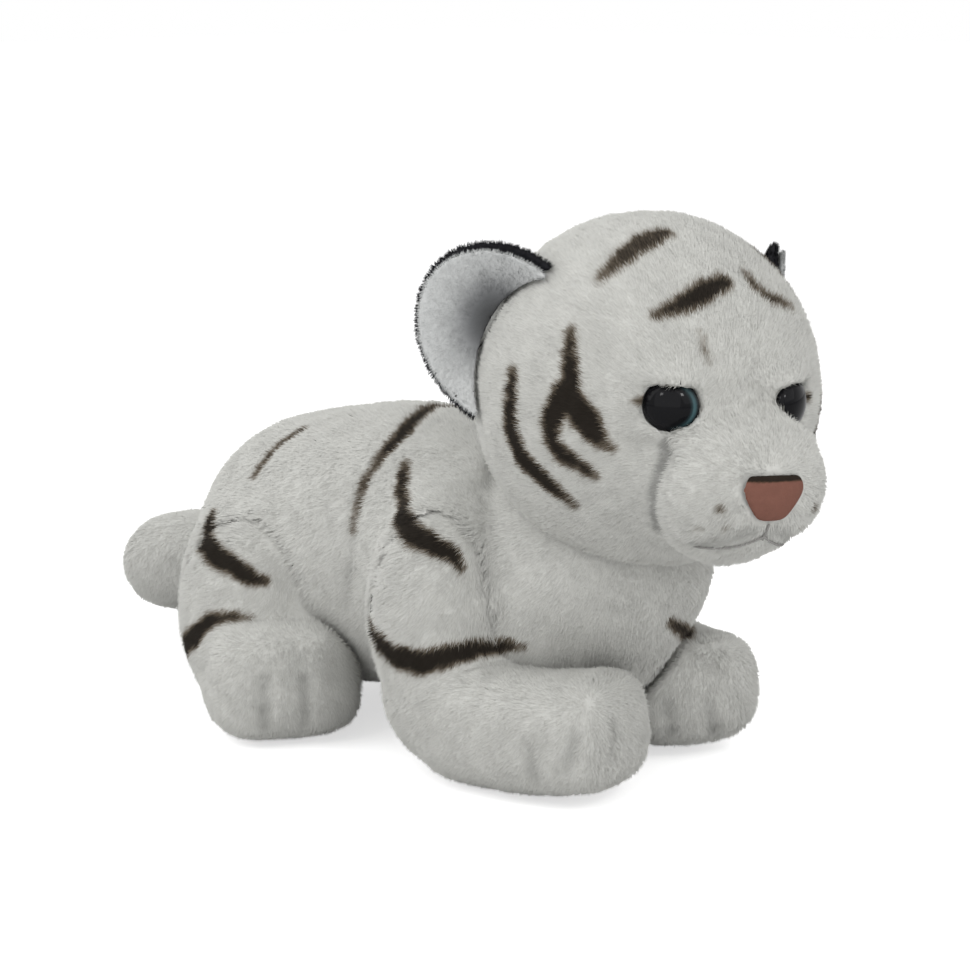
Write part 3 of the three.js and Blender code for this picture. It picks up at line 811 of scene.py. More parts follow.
def pile(
    cloth, hidden, lay, seed, length=2.6, stripes=(), creases=(), per_square=3.0, width=0.42, even=None,
):
    """Short fibres on a skin: one blade each, rooted in the cloth and combed along the lay."""
    rng = np.random.default_rng(seed)
    body, slot, bend = cloths[cloth.name]
    mesh = cloth.data
    mesh.calc_loop_triangles()
    places = read(mesh.vertices, "co") / mm
    normals = read(mesh.vertices, "normal")
    corners = read(mesh.loop_triangles, "vertices", np.int32)
    corners = corners[~hidden(places[corners].mean(1))]
    a, b, c = (places[corners[:, k]] for k in range(3))
    area = np.linalg.norm(np.cross(b - a, c - a), axis=1) / 2
    count = int(per_square * area.sum())
    which = np.searchsorted(np.cumsum(area), rng.random(count) * area.sum())
    which = np.minimum(which, len(corners) - 1)
    u, v = rng.random(count), rng.random(count)
    fold = u + v > 1
    u[fold], v[fold] = 1 - u[fold], 1 - v[fold]
    weights = np.stack([1 - u - v, u, v], 1)[:, :, None]
    roots = (places[corners[which]] * weights).sum(1)
    up = unit((normals[corners[which]] * weights).sum(1))
    longer = 1.0
    if even is not None:
        turned = even(roots, up)
        out = (turned * up).sum(1) > 0.2
        roots, up, count = roots[out], turned[out], int(out.sum())
        longer = 1 + seam_longer * np.exp(-((beside_seam(roots) / seam_longer_reach) ** 2))
    flow = lay(roots)
    flow = unit(flow - up * (flow * up).sum(1)[:, None])
    clump = lattice(roots, clump_size, seed)
    way = blade_rise * up + blade_lean * flow + blade_clump * clump
    way = way + rng.normal(scale=blade_stray, size=(count, 3))
    way += up * np.maximum(least_rise - (way * up).sum(1), 0.0)[:, None]
    way = unit(way)
    reach = longer * length * rng.uniform(*blade_lengths, count) * (1 + 0.12 * clump[:, 1])
    across = unit(np.cross(way, up) + rng.normal(scale=0.25, size=(count, 3)))
    half = across * (0.5 * width * rng.uniform(*blade_widths, count))[:, None]
    foot = roots - root_depth * up
    tips = roots + way * reach[:, None]
    outward = (np.cross(2 * half, tips - foot) * up).sum(1) > 0
    half[~outward] *= -1
    blades = np.stack([foot - half, foot + half, tips], 1).reshape(-1, 3)
    hair = mesh_piece(cloth.name.replace("cloth", "pile"), blades, np.arange(3 * count).reshape(-1, 3))
    dyed = striped(roots + 0.3 * length * flow, stripes, 5)
    dyed = np.clip(dyed + rng.normal(scale=0.06, size=count) * (dyed > 0.02), 0, 1)
    paint(hair, "dyed", np.repeat(dyed, 3))
    # Painted shade on each blade: darker beside sewn lines and at its feet than at its tip, with a random
    # tone for each blade.
    deep = painted_seam_shade(roots, creases) * rng.uniform(*blade_shades, count)
    paint(hair, "depth", np.tile(blade_light, count) * np.repeat(deep, 3))
    soft = unit(up + rng.normal(scale=0.05, size=(count, 3)))
    hair.data.normals_split_custom_set_from_vertices(np.repeat(soft, 3, 0).tolist())
    fibre_cells(hair.data, count)
    hair.data.materials.append(cloth.data.materials[0])
    hold(hair, body, bend)
    return hair


def toward(*way):
    """A nap that runs one way all over."""
    return lambda points: np.tile(np.array(way, float), (len(points), 1))


back_and_down = toward(0.2, 0.6, -0.6)
seam_run = 7


def torso_under_pile(points):
    """The cloth lies under the pile, and comes up to it where a leg or the tail is set in."""
    beside = np.min([form(points) for form in set_in], 0)
    return torso_form(points) + skin_depth * np.clip(beside / seam_run, 0.15, 1.0)


seam_lay = 0.6
seam_lay_reach = 4.5


def over_the_seams(points):
    """The nap runs back and down, and lies over the seams of the legs and the tail."""
    slope = slopes(lambda places: np.min([form(places) for form in set_in], 0), points)[1]
    near = np.exp(-((beside_seam(points) / seam_lay_reach) ** 2))[:, None]
    return back_and_down(points) - seam_lay * near * slope


# No pile grows where the cloth lies this deep in another piece
deep_in_head = 4.0
deep_in_limb = 0.4


def torso_hidden(points):
    """Where the torso is covered by the head, the legs or the tail."""
    covers = [skull(points) + deep_in_head, *(form(points) + deep_in_limb for form in set_in)]
    return np.min(covers, 0) < 0


torso_low = (-60, -125, 3)
torso_high = (60, 125, 128)
torso_step = 1.8
torso_cloth = skin(
    "torso_cloth", "torso", torso_under_pile, torso_low, torso_high, torso_step,
    ("torso_skin", "torso_filling", "pellet_pouch"),
    stripes=body_stripes, creases=body_creases, even=evened,
)
pile(
    torso_cloth, torso_hidden, over_the_seams, 11,
    stripes=body_stripes, creases=body_creases, per_square=2.15, width=0.5, even=evened,
)

# Neck
# The stuffed neck is a short round stem of fibre, hidden between the torso and the head.
# It turns in the torso and carries the head on its round top.
neck_radius = 18.0
neck_depth = 10.0
neck_slack = 0.5


def neck_form(points):
    """A stem that ends in the torso and under the round cup of the head."""
    offset = points - pivot
    stem = np.linalg.norm(offset[:, :2], axis=1) - neck_radius + neck_slack
    foot = offset[:, 2] + neck_depth - neck_slack
    top = chest_radius - neck_slack - np.linalg.norm(offset, axis=1)
    return -smooth_least([-stem, foot, top], 0.6)


fibre_white = (0.62, 0.62, 0.60)
stuffing = plush("stuffing fibre", fibre_white, brown_edge, dark_dye, bump=0.6)
neck_low = pivot - (22, 22, 14)
neck_high = pivot + (22, 22, 46)
neck_step = 1.6
neck_stem = skin(
    "neck_stem", "neck", neck_form, neck_low, neck_high, neck_step,
    ("neck_filling",), slot="stuffing", material=stuffing, deep=1.0,
)

# Head
# A round skin of white plush with a full muzzle and a small chin, filled tight with fibre.
# Seams part the muzzle from the cheeks, and the cloth swells round the eyes and sits over the neck.
muzzle_root = (0.0, -34.0, -20.0)
muzzle_tip = (0.0, -82.0, -25.0)
muzzle_sections = [(0.0, 1.10, 1.15, 0.95), (0.5, 0.96, 0.95, 0.96), (1.0, 0.76, 0.68, 0.72)]
muzzle_half = (33.0, 25.0)
muzzle_caps = (8.0, 21.0)
chin_middle = (0.0, -52.0, -36.0)
chin_half = (18.0, 16.5, 15.0)


def on_head(point):
    """A place given from the middle of the skull, in the frame."""
    return head_middle + head_axes @ np.asarray(point, float)


muzzle_spine = [
    on_head(np.array(muzzle_root) * (1 - place) + np.array(muzzle_tip) * place)
    for place, _, _, _ in muzzle_sections
]
muzzle_sizes = [
    (wide * muzzle_half[0], above * muzzle_half[1], below * muzzle_half[1])
    for _, wide, above, below in muzzle_sections
]
muzzle = limb(muzzle_spine, muzzle_sizes, muzzle_caps, 2.2)
chin = ball(on_head(chin_middle), chin_half, head_axes)


def head_blank(points):
    """Skull, muzzle and chin in one."""
    return smooth_least([skull(points), muzzle(points), chin(points)], 2.5)


# Pixels and half widths of the stripes, and pixels and depths of the seams
crown_stripe = [(599, 278, 0.8), (622, 257, 2.8), (645, 239, 3.8), (664, 231, 2.6)]
near_brow = [(657, 314, 0.6), (683, 304, 2.2), (705, 291, 3.2), (725, 282, 2.0)]
far_brow = [(747, 272, 0.3), (757, 285, 1.3), (773, 297, 1.3), (795, 307, 0.3)]
cheek_stripes = [
    [
        (570, 332, 0.4), (569, 355, 1.3), (569, 380, 2.0), (568, 398, 3.6), (585, 420, 3.4),
        (598, 438, 2.0), (611, 449, 0.4),
    ],
    [(566, 392, 3.2), (552, 415, 2.8), (550, 440, 1.7), (560, 455, 2.0), (577, 465, 1.5), (594, 477, 0.4)],
    [
        (511, 372, 0.5), (509, 400, 1.6), (508, 428, 2.4), (519, 457, 2.6), (538, 477, 2.2),
        (556, 493, 1.5), (573, 506, 0.4),
    ],
]
frown_mark = [(700, 330, -0.6), (705, 346, -0.3), (709, 360, -0.4)]
eye_corners = [
    [(628, 402, -1.9), (637, 401, -0.6), (646, 402, 0.5), (654, 404, 1.4)],
    [(701, 408, -1.4), (694, 409, 0.4), (686, 408, 1.4)],
]
eye_patch = [(671, 407, 4.6), (673, 407, 4.6)]
whisker_dots = [
    [(719, 510, -0.3), (720, 510, -0.3)],
    [(698, 531, -0.8), (699, 531, -0.8)],
    [(725, 529, -1.0), (726, 529, -1.0)],
]
muzzle_seam = [
    (667, 433, 3.4), (661, 452, 3.6), (652, 472, 3.4), (647, 492, 3.2), (647, 514, 2.8), (655, 538, 2.0),
]
cheek_hollow = [(652, 446, 4.2), (640, 470, 4.2), (634, 498, 4.2), (640, 524, 4.2)]
lip_line = [(697, 549, 1.0), (712, 547, 1.1), (732, 542, 1.3), (757, 534, 1.4)]


def mirrored_in_head(places, outward=0.0, back=0.0):
    """The same places on the other side of the face, moved a little and laid on the head again."""
    own = (places - head_middle) @ head_axes * (-1.0, 1.0, 1.0)
    places = head_middle + (own + (outward, back, 0.0)) @ head_axes.T
    for _ in range(4):
        value, slope = slopes(head_blank, places)
        places = places - slope * (value / (slope ** 2).sum(1))[:, None]
    return places


# How far the marks on the other side lie back or outward of true mirror images, and how dark some are
cheek_back = 9.0
dots_back = 5.0
crown_outward = 26.0
crown_dark = 0.70
near_brow_dark = 0.86
far_brow_dark = 0.75
head_marks = drawn_on(head_blank, cheek_stripes, lambda places: mirrored_in_head(places, 0.0, cheek_back))
head_marks += drawn_on(head_blank, whisker_dots, lambda places: mirrored_in_head(places, 0.0, dots_back))
head_marks += drawn_on(
    head_blank, [crown_stripe], lambda places: mirrored_in_head(places, crown_outward), crown_dark,
)
head_marks += drawn_on(head_blank, [eye_patch, *eye_corners], mirrored_in_head)
head_marks += drawn_on(head_blank, [near_brow], None, near_brow_dark)
head_marks += drawn_on(head_blank, [far_brow, frown_mark], None, far_brow_dark)
head_creases = drawn_on(head_blank, [muzzle_seam, lip_line], mirrored_in_head)
head_hollows = drawn_on(head_blank, [cheek_hollow], mirrored_in_head)
head_cup = ball(pivot, (chest_radius + seam_gap,) * 3)

eye_x = 23.5
eye_z = 2.5
eye_face_turn = math.radians(34.0)
eye_half = np.array([9.2, 5.0, 8.6])
eye_sink = 1.4
eye_look_up = 0.04


def turn_from_y(way):
    """The shortest turn that takes the Y direction to another one."""
    x, y, z = way
    cross = np.array([[0, x, 0], [-x, 0, -z], [0, z, 0]])
    return np.eye(3) + cross + cross @ cross / (1 + y)


def eye_place(side):
    """The middle of an eye and its own axes, with Y out of the head."""
    x = side * eye_x
    y = -skull_half[1] * math.sqrt(1 - (x / skull_half[0]) ** 2 - (eye_z / skull_half[2]) ** 2)
    out = np.array([side * math.sin(eye_face_turn), -math.cos(eye_face_turn), eye_look_up])
    out /= np.linalg.norm(out)
    return on_head(np.array([x, y, eye_z]) - eye_sink * out), head_axes @ turn_from_y(out)


eyes = {word: eye_place(side) for word, side in sides}
eye_rooms = [ball(middle, eye_half + seam_gap, axes) for middle, axes in eyes.values()]

ear_y = 18.0
ear_z = 23.5
ear_face_turn = 57.0
ear_tilt = 60.0
ear_rise = 0.5
ear_roll_radius = 4.5
ear_roll_half_length = 15.0
ear_groove_gap = 0.4


def ear_place(side):
    """The root of an ear and its own axes: X along the root, -Y out of the dish and Z across it."""
    share = math.sqrt(1 - (ear_y / skull_half[1]) ** 2 - (ear_z / skull_half[2]) ** 2)
    x = side * (skull_half[0] * share + ear_rise)
    faced = turned_about(2, math.radians(side * ear_face_turn))
    tilted = turned_about(1, math.radians(side * ear_tilt))
    return on_head((x, ear_y, ear_z)), head_axes @ (faced @ tilted)


ear_roll_half = np.array([ear_roll_half_length, ear_roll_radius, ear_roll_radius])
ears = {word: ear_place(side) for word, side in sides}
ear_rooms = [ball(middle, ear_roll_half + ear_groove_gap, axes) for middle, axes in ears.values()]

nose_z = -24.0
nose_half_width = 12.6
nose_height = 15.0
nose_flank_drop = 4.5
nose_wing_cut = 2.3
nose_flank_way = (0.81, 0.59)
nose_wing_way = (0.88, 0.48)
nose_rise = 1.2
nose_sink = 1.6


def nose_outline(points):
    """How far points lie outside the nose's outline, seen from the front, and their places in the head."""
    own = (points - head_middle) @ head_axes
    across, up = np.abs(own[:, 0]), own[:, 2] - nose_z
    top = up - nose_height / 2
    low = -nose_height / 2 - up
    flank = (across - nose_half_width) * nose_flank_way[0]
    flank = flank + (nose_height / 2 - nose_flank_drop - up) * nose_flank_way[1]
    wing = (across - nose_half_width + nose_wing_cut) * nose_wing_way[0]
    wing = wing + (up - nose_height / 2) * nose_wing_way[1]
    outline = -smooth_least([-top, -flank, -wing, -(across - nose_half_width), -low], 0.9)
    return outline, own


def nose_room(points):
    """The seat of the nose pad in the muzzle."""
    return np.maximum(nose_outline(points)[0] - seam_gap, -head_blank(points) - nose_sink - seam_gap)


crease_width = 3.2
hollow_width = 8.0
lid_reach = 14.0
# Swells of the cloth round each eye: place outward, place up, height, spread outward, spread up
eyelids = [
    (0.0, 8.2, 6.4, 9.5, 3.4),
    (-1.0, -9.2, 5.0, 9.0, 3.2),
    (-10.5, -2.0, 2.0, 3.2, 7.0),
    (10.5, 1.0, 1.0, 3.2, 6.0),
]


def head_form(points, depth=0.0):
    """The head with its seams and eyelids, and with seats for the eyes, the nose, the ears and the neck."""
    form = depth + head_blank(points) + creased(points, head_creases, crease_width)
    form = form + creased(points, head_hollows, hollow_width)
    for (middle, axes), (_, side) in zip(eyes.values(), sides):
        own = (points - middle) @ axes
        near = np.exp(-((own[:, 1] / lid_reach) ** 2))
        for out, up, height, wide, high in eyelids:
            spread = ((-side * own[:, 0] - out) / wide) ** 2 + ((own[:, 2] - up) / high) ** 2
            form = form - height * near * np.exp(-spread)
    for room in (*eye_rooms, nose_room, *ear_rooms):
        form = less(form, room(points), 0.3)
    return less(form, head_cup(points), 1.2)


drawn_share = 0.8


def at_depth(lines):
    """The same lines where the cloth lies once it is drawn in along them."""
    moved = []
    for line in lines:
        inward = unit(slopes(head_blank, line[:, :3])[1])
        places = line[:, :3] - inward * (skin_depth + drawn_share * line[:, 3:4])
        moved.append(np.column_stack([places, line[:, 3:]]))
    return moved


muzzle_front = -62.0
bare_at_seats = 0.2
bare_at_chest = 1.0


def head_hidden(points):
    """Where the head is covered by the neck, the nose, the eyes or the ears."""
    outline, own = nose_outline(points)
    nose = np.maximum(outline - seam_gap, own[:, 1] - muzzle_front)
    rooms = [room(points) - bare_at_seats for room in (*eye_rooms, *ear_rooms)]
    return np.min([chest(points) - bare_at_chest, nose, *rooms], 0) < 0


nap_start = on_head((0.0, -95.0, -15.0))
swirl = 2.5
swirl_reach = 12


def back_from_nose(points):
    """The nap runs back from the nose, and away from each eye."""
    way = unit(points - nap_start)
    for middle, _ in eyes.values():
        off = points - middle
        reach = np.linalg.norm(off, axis=1)[:, None]
        way += swirl * np.exp(-((reach / swirl_reach) ** 2)) * off / reach
    return way


head_shade = at_depth(head_creases)
head_low = head_middle - (70, 92, 66)
head_high = head_middle + (70, 68, 66)
head_step = 1.6
head_cloth = skin(
    "head_cloth", "head", lambda points: head_form(points, skin_depth), head_low, head_high, head_step,
    ("head_skin", "head_filling"), stripes=head_marks, creases=head_shade,
)
pile(head_cloth, head_hidden, back_from_nose, 23, stripes=head_marks, creases=head_shade)

# Nose
# A rounded triangle of pink velour, let into the tip of the muzzle and domed by its stuffing.
# It is darker in a band along its top edge.
pink = (0.185, 0.084, 0.063)
pink_edge = (0.08, 0.045, 0.03)
top_edge_dark = (0.02, 0.014, 0.01)
dark_band = 2.2
nose_back = -55.0
nose_step = 0.8
nose_y = -103.0
nose_middle = on_head((0.0, nose_y, nose_z))


def nose_form(points):
    """The nose pad, let into the head and domed in front."""
    outline, own = nose_outline(points)
    blank = head_blank(points)
    dome = blank - nose_rise * np.clip(1 - np.exp(outline / 2.0), 0, 1)
    return -smooth_least([-dome, -outline, blank + nose_sink, nose_back - own[:, 1]], 0.35)


places, faces = closed_surface(
    nose_form, nose_middle - (20, 20, 12), nose_middle + (20, 24, 12), nose_step,
)
nose_pad = mesh_piece("nose_velour", places, faces)
_, own = nose_outline(places)
# The band along the top edge is painted darker.
paint(nose_pad, "dyed", np.clip((own[:, 2] - nose_z - nose_height / 2 + dark_band) / 0.8, 0, 1))
paint(nose_pad, "depth", 0.94 + 0.06 * lattice(places, 1.6, 71)[:, 0])
nose_velour = plush("pink velour", pink, pink_edge, top_edge_dark, bump=0.3)
nose_pad.data.materials.append(nose_velour)
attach(nose_pad, "head")
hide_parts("nose_pad")

# Mouth
# One grey thread drops from the nose and parts along both lips.
# It is stitched through the muzzle, and lies half sunk in the pile.
mouth_gap = 1.0
mouth_top = nose_z - nose_height / 2 - mouth_gap
mouth_drop = 6.0
mouth_fork = mouth_top - mouth_drop
mouth_half_width = 18.0
lip_rise = 1.2
lip_sag = 1.4
lip_fall = 0.26
lip_places_count = 13
before_muzzle = -120.0
thread_radius = 0.38
thread_rows = 90
thread_sides = 8
ply_swell = 0.12
ply_turn = 1.9
grey = (0.26, 0.255, 0.245)
grey_shade = (0.20, 0.195, 0.185)


def on_muzzle(x, z):
    """The place on the front of the head at a height and a distance from its middle plane."""
    start, way = on_head((x, before_muzzle, z)), head_axes @ np.array([0.0, 1.0, 0.0])
    reach = 0.0
    for _ in range(40):
        reach += careful * float(head_form((start + way * reach)[None], skin_depth / 2)[0])
    return start + way * reach


def thread(line):
    """A round thread along a line of places, with its plies as small bulges."""
    line = curve_through(line, thread_rows)
    ahead = unit(np.gradient(line, axis=0))
    aside = unit(np.cross(ahead, head_axes[:, 1]))
    lift = np.cross(ahead, aside)
    ring = np.linspace(0, 2 * math.pi, thread_sides + 1)[:-1][None, :, None]
    row = np.arange(thread_rows)
    taper = thread_radius * np.minimum(1, np.minimum(row, row[::-1]) / 4 + 0.25)
    taper = taper * (1 + ply_swell * np.sin(row * ply_turn))
    around = np.cos(ring) * aside[:, None] + np.sin(ring) * lift[:, None]
    places = (line[:, None] + around * taper[:, None, None]).reshape(-1, 3)
    rows = row[:-1, None] * thread_sides
    here = rows + np.arange(thread_sides)
    beside = rows + (np.arange(thread_sides) + 1) % thread_sides
    faces = np.stack([here, beside, beside + thread_sides, here + thread_sides], -1)
    return places, faces.reshape(-1, 4)


def lip(x):
    """The height of the lips at a distance from the middle: both hang a little, and then fall away."""
    sag = lip_sag * math.sin(math.pi * abs(x) / mouth_half_width)
    return mouth_fork + lip_rise - sag - lip_fall * abs(x)


lips = [on_muzzle(x, lip(x)) for x in np.linspace(-mouth_half_width, mouth_half_width, lip_places_count)]
drop = [on_muzzle(0.0, mouth_top - share * mouth_drop) for share in (0, 0.5, 1)]
lip_places, lip_faces = thread(lips)
drop_places, drop_faces = thread(drop)
places = np.concatenate([lip_places, drop_places])
mouth = mesh_piece("mouth_stitch", places, np.concatenate([lip_faces, drop_faces + len(lip_places)]))
paint(mouth, "dyed", np.full(len(places), 0.5))
paint(mouth, "depth", np.ones(len(places)))
grey_thread = plush("grey thread", grey, grey, grey_shade)
mouth.data.materials.append(grey_thread)
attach(mouth, "head")
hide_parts("mouth_thread")

# Eyes
# Two glossy safety eyes of black plastic, each with a teal ring round its pupil that is painted only on its
# lit side, as a thin crescent.
# A stem behind each goes through the skin, and a washer pressed onto it inside the head holds it.
eye_black = (0.004, 0.004, 0.005, 1.0)
iris_teal = (0.07, 0.14, 0.155, 1.0)
iris_edge = 0.84
iris_width = 0.07


def dome_mesh(rings=28, across=48):
    """Corners and faces of a ball of radius 1, with its poles on Y."""
    turn = np.linspace(0, 2 * math.pi, across + 1)[:-1]
    fall = np.linspace(0, math.pi, rings + 2)[1:-1]
    x = np.sin(fall)[:, None] * np.cos(turn)
    z = np.sin(fall)[:, None] * np.sin(turn)
    y = np.repeat(np.cos(fall)[:, None], across, 1)
    places = np.concatenate([[(0, 1, 0)], np.stack([x, y, z], -1).reshape(-1, 3), [(0, -1, 0)]])
    faces = []
    for row in range(rings - 1):
        for k in range(across):
            a, b = 1 + row * across + k, 1 + row * across + (k + 1) % across
            faces.append((a, b, b + across, a + across))
    last = len(places) - 1
    for k in range(across):
        a, b = 1 + k, 1 + (k + 1) % across
        faces.append((0, b, a))
        faces.append((last, a + (rings - 1) * across, b + (rings - 1) * across))
    return places, faces


def eye_plastic():
    """Black plastic, teal where the mesh is painted with the lit side of its ring."""
    material, shader, nodes, links = new_material("eye plastic")
    ring = nodes.new("ShaderNodeAttribute")
    ring.attribute_name = "lit_iris"
    mix = nodes.new("ShaderNodeMix")
    mix.data_type = "RGBA"
    mix.inputs[6].default_value = eye_black
    mix.inputs[7].default_value = iris_teal
    links.new(ring.outputs["Fac"], mix.inputs["Factor"])
    links.new(mix.outputs[2], shader.inputs["Base Color"])
    shader.inputs["Roughness"].default_value = 0.06
    shader.inputs["Specular IOR Level"].default_value = 0.11
    return material


plastic = eye_plastic()
local, faces = dome_mesh()
for word, (middle, axes) in eyes.items():
    places = middle + (local * eye_half) @ axes.T
    mesh = bpy.data.meshes.new(word + "_eye_dome")
    mesh.from_pydata((places * mm).tolist(), [], faces)
    mesh.validate()
    dome = placed(word + "_eye_dome", mesh)
    mesh.polygons.foreach_set("use_smooth", np.ones(len(mesh.polygons), bool))
    # The teal ring round the pupil is painted only where the light falls on it, on one side of the dome: a
    # painted lit crescent.
    edge = np.hypot(local[:, 0], local[:, 2])
    lit = np.clip(-local[:, 0], 0, 1)
    ring = np.exp(-((edge - iris_edge) / iris_width) ** 2)
    paint(dome, "lit_iris", ring * lit ** 1.5 * (local[:, 1] > 0))
    mesh.materials.append(plastic)
    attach(dome, "head")
    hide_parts(word + "_eye")

washer_plastic, shader, nodes, links = new_material("washer plastic")
cloudy = nodes.new("ShaderNodeTexNoise")
cloudy.inputs["Scale"].default_value = 300.0
tint = nodes.new("ShaderNodeMapRange")
tint.inputs["To Min"].default_value = 0.50
tint.inputs["To Max"].default_value = 0.60
links.new(cloudy.outputs["Fac"], tint.inputs["Value"])
links.new(tint.outputs["Result"], shader.inputs["Base Color"])
shader.inputs["Roughness"].default_value = 0.45
for word, _ in sides:
    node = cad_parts[word + "_eye_washer"]
    node.data.materials.clear()
    node.data.materials.append(washer_plastic)

# Ears
# Each is a padded dish of black plush with a pale lining a little smaller than it.
# Its root is a roll that is sewn along a groove of the head and folds in it.
ear_half_width = 30.5
ear_half_height = 37.0
ear_inset = 12.5
ear_cup = 6.4
ear_back_thickness = 3.4
ear_lining_thickness = 2.4
ear_rim = 2.2
back_pile_depth = 0.5
lining_pile_depth = 0.45
rim_pile_depth = 0.8
bare_at_head = 0.5
bare_at_root = 2.5
ear_margin = 5
ear_bend = (1.0, 10.0)
ear_step = 0.9
undyed_back = (0.60, 0.60, 0.58)
back_edge = (0.17, 0.17, 0.17)
black_dye = (0.018, 0.018, 0.021)
black_plush = plush("black plush", undyed_back, back_edge, black_dye)
lining_cloth_colour = (0.58, 0.59, 0.585)
lining_shade = (0.17, 0.175, 0.18)
lining_dark = (0.03, 0.03, 0.03)
lining_plush = plush("pale lining plush", lining_cloth_colour, lining_shade, lining_dark)


def dish(middle, axes, level, thickness, shrink):
    """Field of an oval dish of even thickness."""
    half = np.array([ear_half_width - shrink, ear_half_height - shrink])

    def field(points):
        own = (points - middle) @ axes + (0.0, 0.0, ear_inset)
        share = own[:, [0, 2]] / half
        spread = np.linalg.norm(share, axis=1)
        slope = 2 * ear_cup * np.linalg.norm(share / half, axis=1)
        sheet = np.abs(own[:, 1] + ear_cup * spread ** 2 - level) / np.sqrt(1 + slope ** 2) - thickness / 2
        rim = spread * (spread - 1) / np.maximum(np.linalg.norm(share / half, axis=1), 1e-6)
        return -smooth_least([-sheet, -rim], 0.5)

    return field


# Grey dye and painted shade round the root of the lining: its darkest share, its middle and its half sizes
grey_share = 0.70
grey_middle = (2, -4)
grey_half = (18, 15)


def lining_grey_and_shade(own):
    """The lining is grey round its root: partly grey dye, and partly painted shade in the hollow of the dish.
    """
    aside = (own[:, 0] - grey_middle[0]) / grey_half[0]
    above = (own[:, 2] - grey_middle[1]) / grey_half[1]
    return grey_share * np.exp(-(aside ** 2 + above ** 2))


pale_height = 3.5
pale_half_width = 17.0


def back_black(own):
    """The back is dyed black up to its rim, and its rolled root is pale in front."""
    low = np.clip(pale_height - own[:, 2], 0, 1)
    inner = np.clip((pale_half_width - np.abs(own[:, 0])) / 1.5, 0, 1)
    return 1.0 - low * inner * np.clip(-own[:, 1] - 0.5, 0, 1)


def dye_ear(piece, share, middle, axes):
    """Dyes a piece by its places in the ear's own axes."""
    places = read(piece.data.vertices, "co") / mm
    paint(piece, "dyed", share((places - middle) @ axes))


for word, side in sides:
    middle, axes = ears[word]
    own_roll = ball(middle, ear_roll_half - back_pile_depth, axes)
    back = dish(middle, axes, 0.0, ear_back_thickness - 2 * back_pile_depth, rim_pile_depth)
    lining_level = -ear_back_thickness / 2 - seam_gap - ear_lining_thickness / 2
    lining_thickness = ear_lining_thickness - 2 * lining_pile_depth
    front = dish(middle, axes, lining_level, lining_thickness, ear_rim + rim_pile_depth)

    def back_form(points, back=back, own_roll=own_roll):
        cut = less(back(points), head_blank(points) - seam_gap, 0.5)
        return smooth_least([cut, own_roll(points)], 0.6)

    def front_form(points, front=front):
        return less(front(points), head_blank(points) - seam_gap, 0.5)

    def out_of_root(points, middle=middle):
        return points - middle

    def in_head(points, own_roll=own_roll):
        return np.minimum(head_blank(points) - bare_at_head, own_roll(points) - bare_at_root) < 0

    around = np.full(3, ear_half_height + ear_margin)
    bend_start, bend_end = ((middle + reach * axes[:, 2]) * mm for reach in ear_bend)
    sewn = ("head", word + "_ear", bend_start, bend_end)
    back_cloth = skin(
        word + "_ear_back_cloth", word + "_ear", back_form, middle - around, middle + around, ear_step,
        (word + "_ear_back",), slot="dark_plush", material=black_plush, bend=sewn,
    )
    back_hair = pile(back_cloth, in_head, out_of_root, 51 + side, length=2.2, per_square=4.0, width=0.36)
    lining_cloth = skin(
        word + "_ear_lining_cloth", word + "_ear", front_form, middle - around, middle + around, ear_step,
        (word + "_ear_lining",), slot="grey_plush", material=lining_plush, deep=0.9, bend=sewn,
    )
    lining_hair = pile(lining_cloth, in_head, out_of_root, 55 + side, length=1.6, per_square=4.0, width=0.36)
    for piece in (back_cloth, back_hair):
        dye_ear(piece, back_black, middle, axes)
    for piece in (lining_cloth, lining_hair):
        dye_ear(piece, lining_grey_and_shade, middle, axes)

# Tail
# A thick tube of white plush, stuffed with fibre.
# It leaves the rump as a round ball and curls forward to the left along the ground.
tail_radius = 18.5
tail_back = 71.0
tail_side = 56.0
tail_end_cap = 4.0
tail_shares = [
    (0.0, 0.0, 1.0, 0.80), (-0.09, 0.46, 0.90, 0.95), (-0.04, 0.80, 0.74, 1.00),
    (0.36, 0.92, 0.58, 0.98), (0.80, 0.68, 0.42, 0.92), (1.00, 0.34, 0.32, 0.87),
]
tail_spine = [
    tail_joint + lie + (aside * tail_side, rear * tail_back, (height - 1) * tail_joint[2])
    for aside, rear, height, _ in tail_shares
]
tail_sizes = [(share * tail_radius,) * 3 for _, _, _, share in tail_shares]
tail_tube = limb(tail_spine, tail_sizes, (tail_radius / 2, tail_end_cap))
tip_middle = tail_spine[-1]
tip_radius = tail_shares[-1][3] * tail_radius
tip_ball = ball(tip_middle, (tip_radius,) * 3)


def tail_form(points):
    """The tail with its round root, and a hollow end for the tip."""
    form = smooth_least([tail_tube(points), tail_root(points)], 2.0)
    return less(form, tip_ball(points) - seam_gap, 0.8)


deep_in_rump = 2.0


def tail_hidden(points):
    """Where the tail is covered by the rump or its tip."""
    return np.minimum(torso_blank(points) + deep_in_rump, tip_ball(points) + deep_in_limb) < 0


tail_low = (-28, 75, -2)
tail_high = (76, 190, 76)
tail_step = 1.7
tail_cloth = skin(
    "tail_cloth", "tail", lambda points: tail_form(points) + skin_depth,
    tail_low, tail_high, tail_step, ("tail_skin", "tail_filling"),
)
pile(tail_cloth, tail_hidden, toward(0.15, 0.35, -0.8), 61)

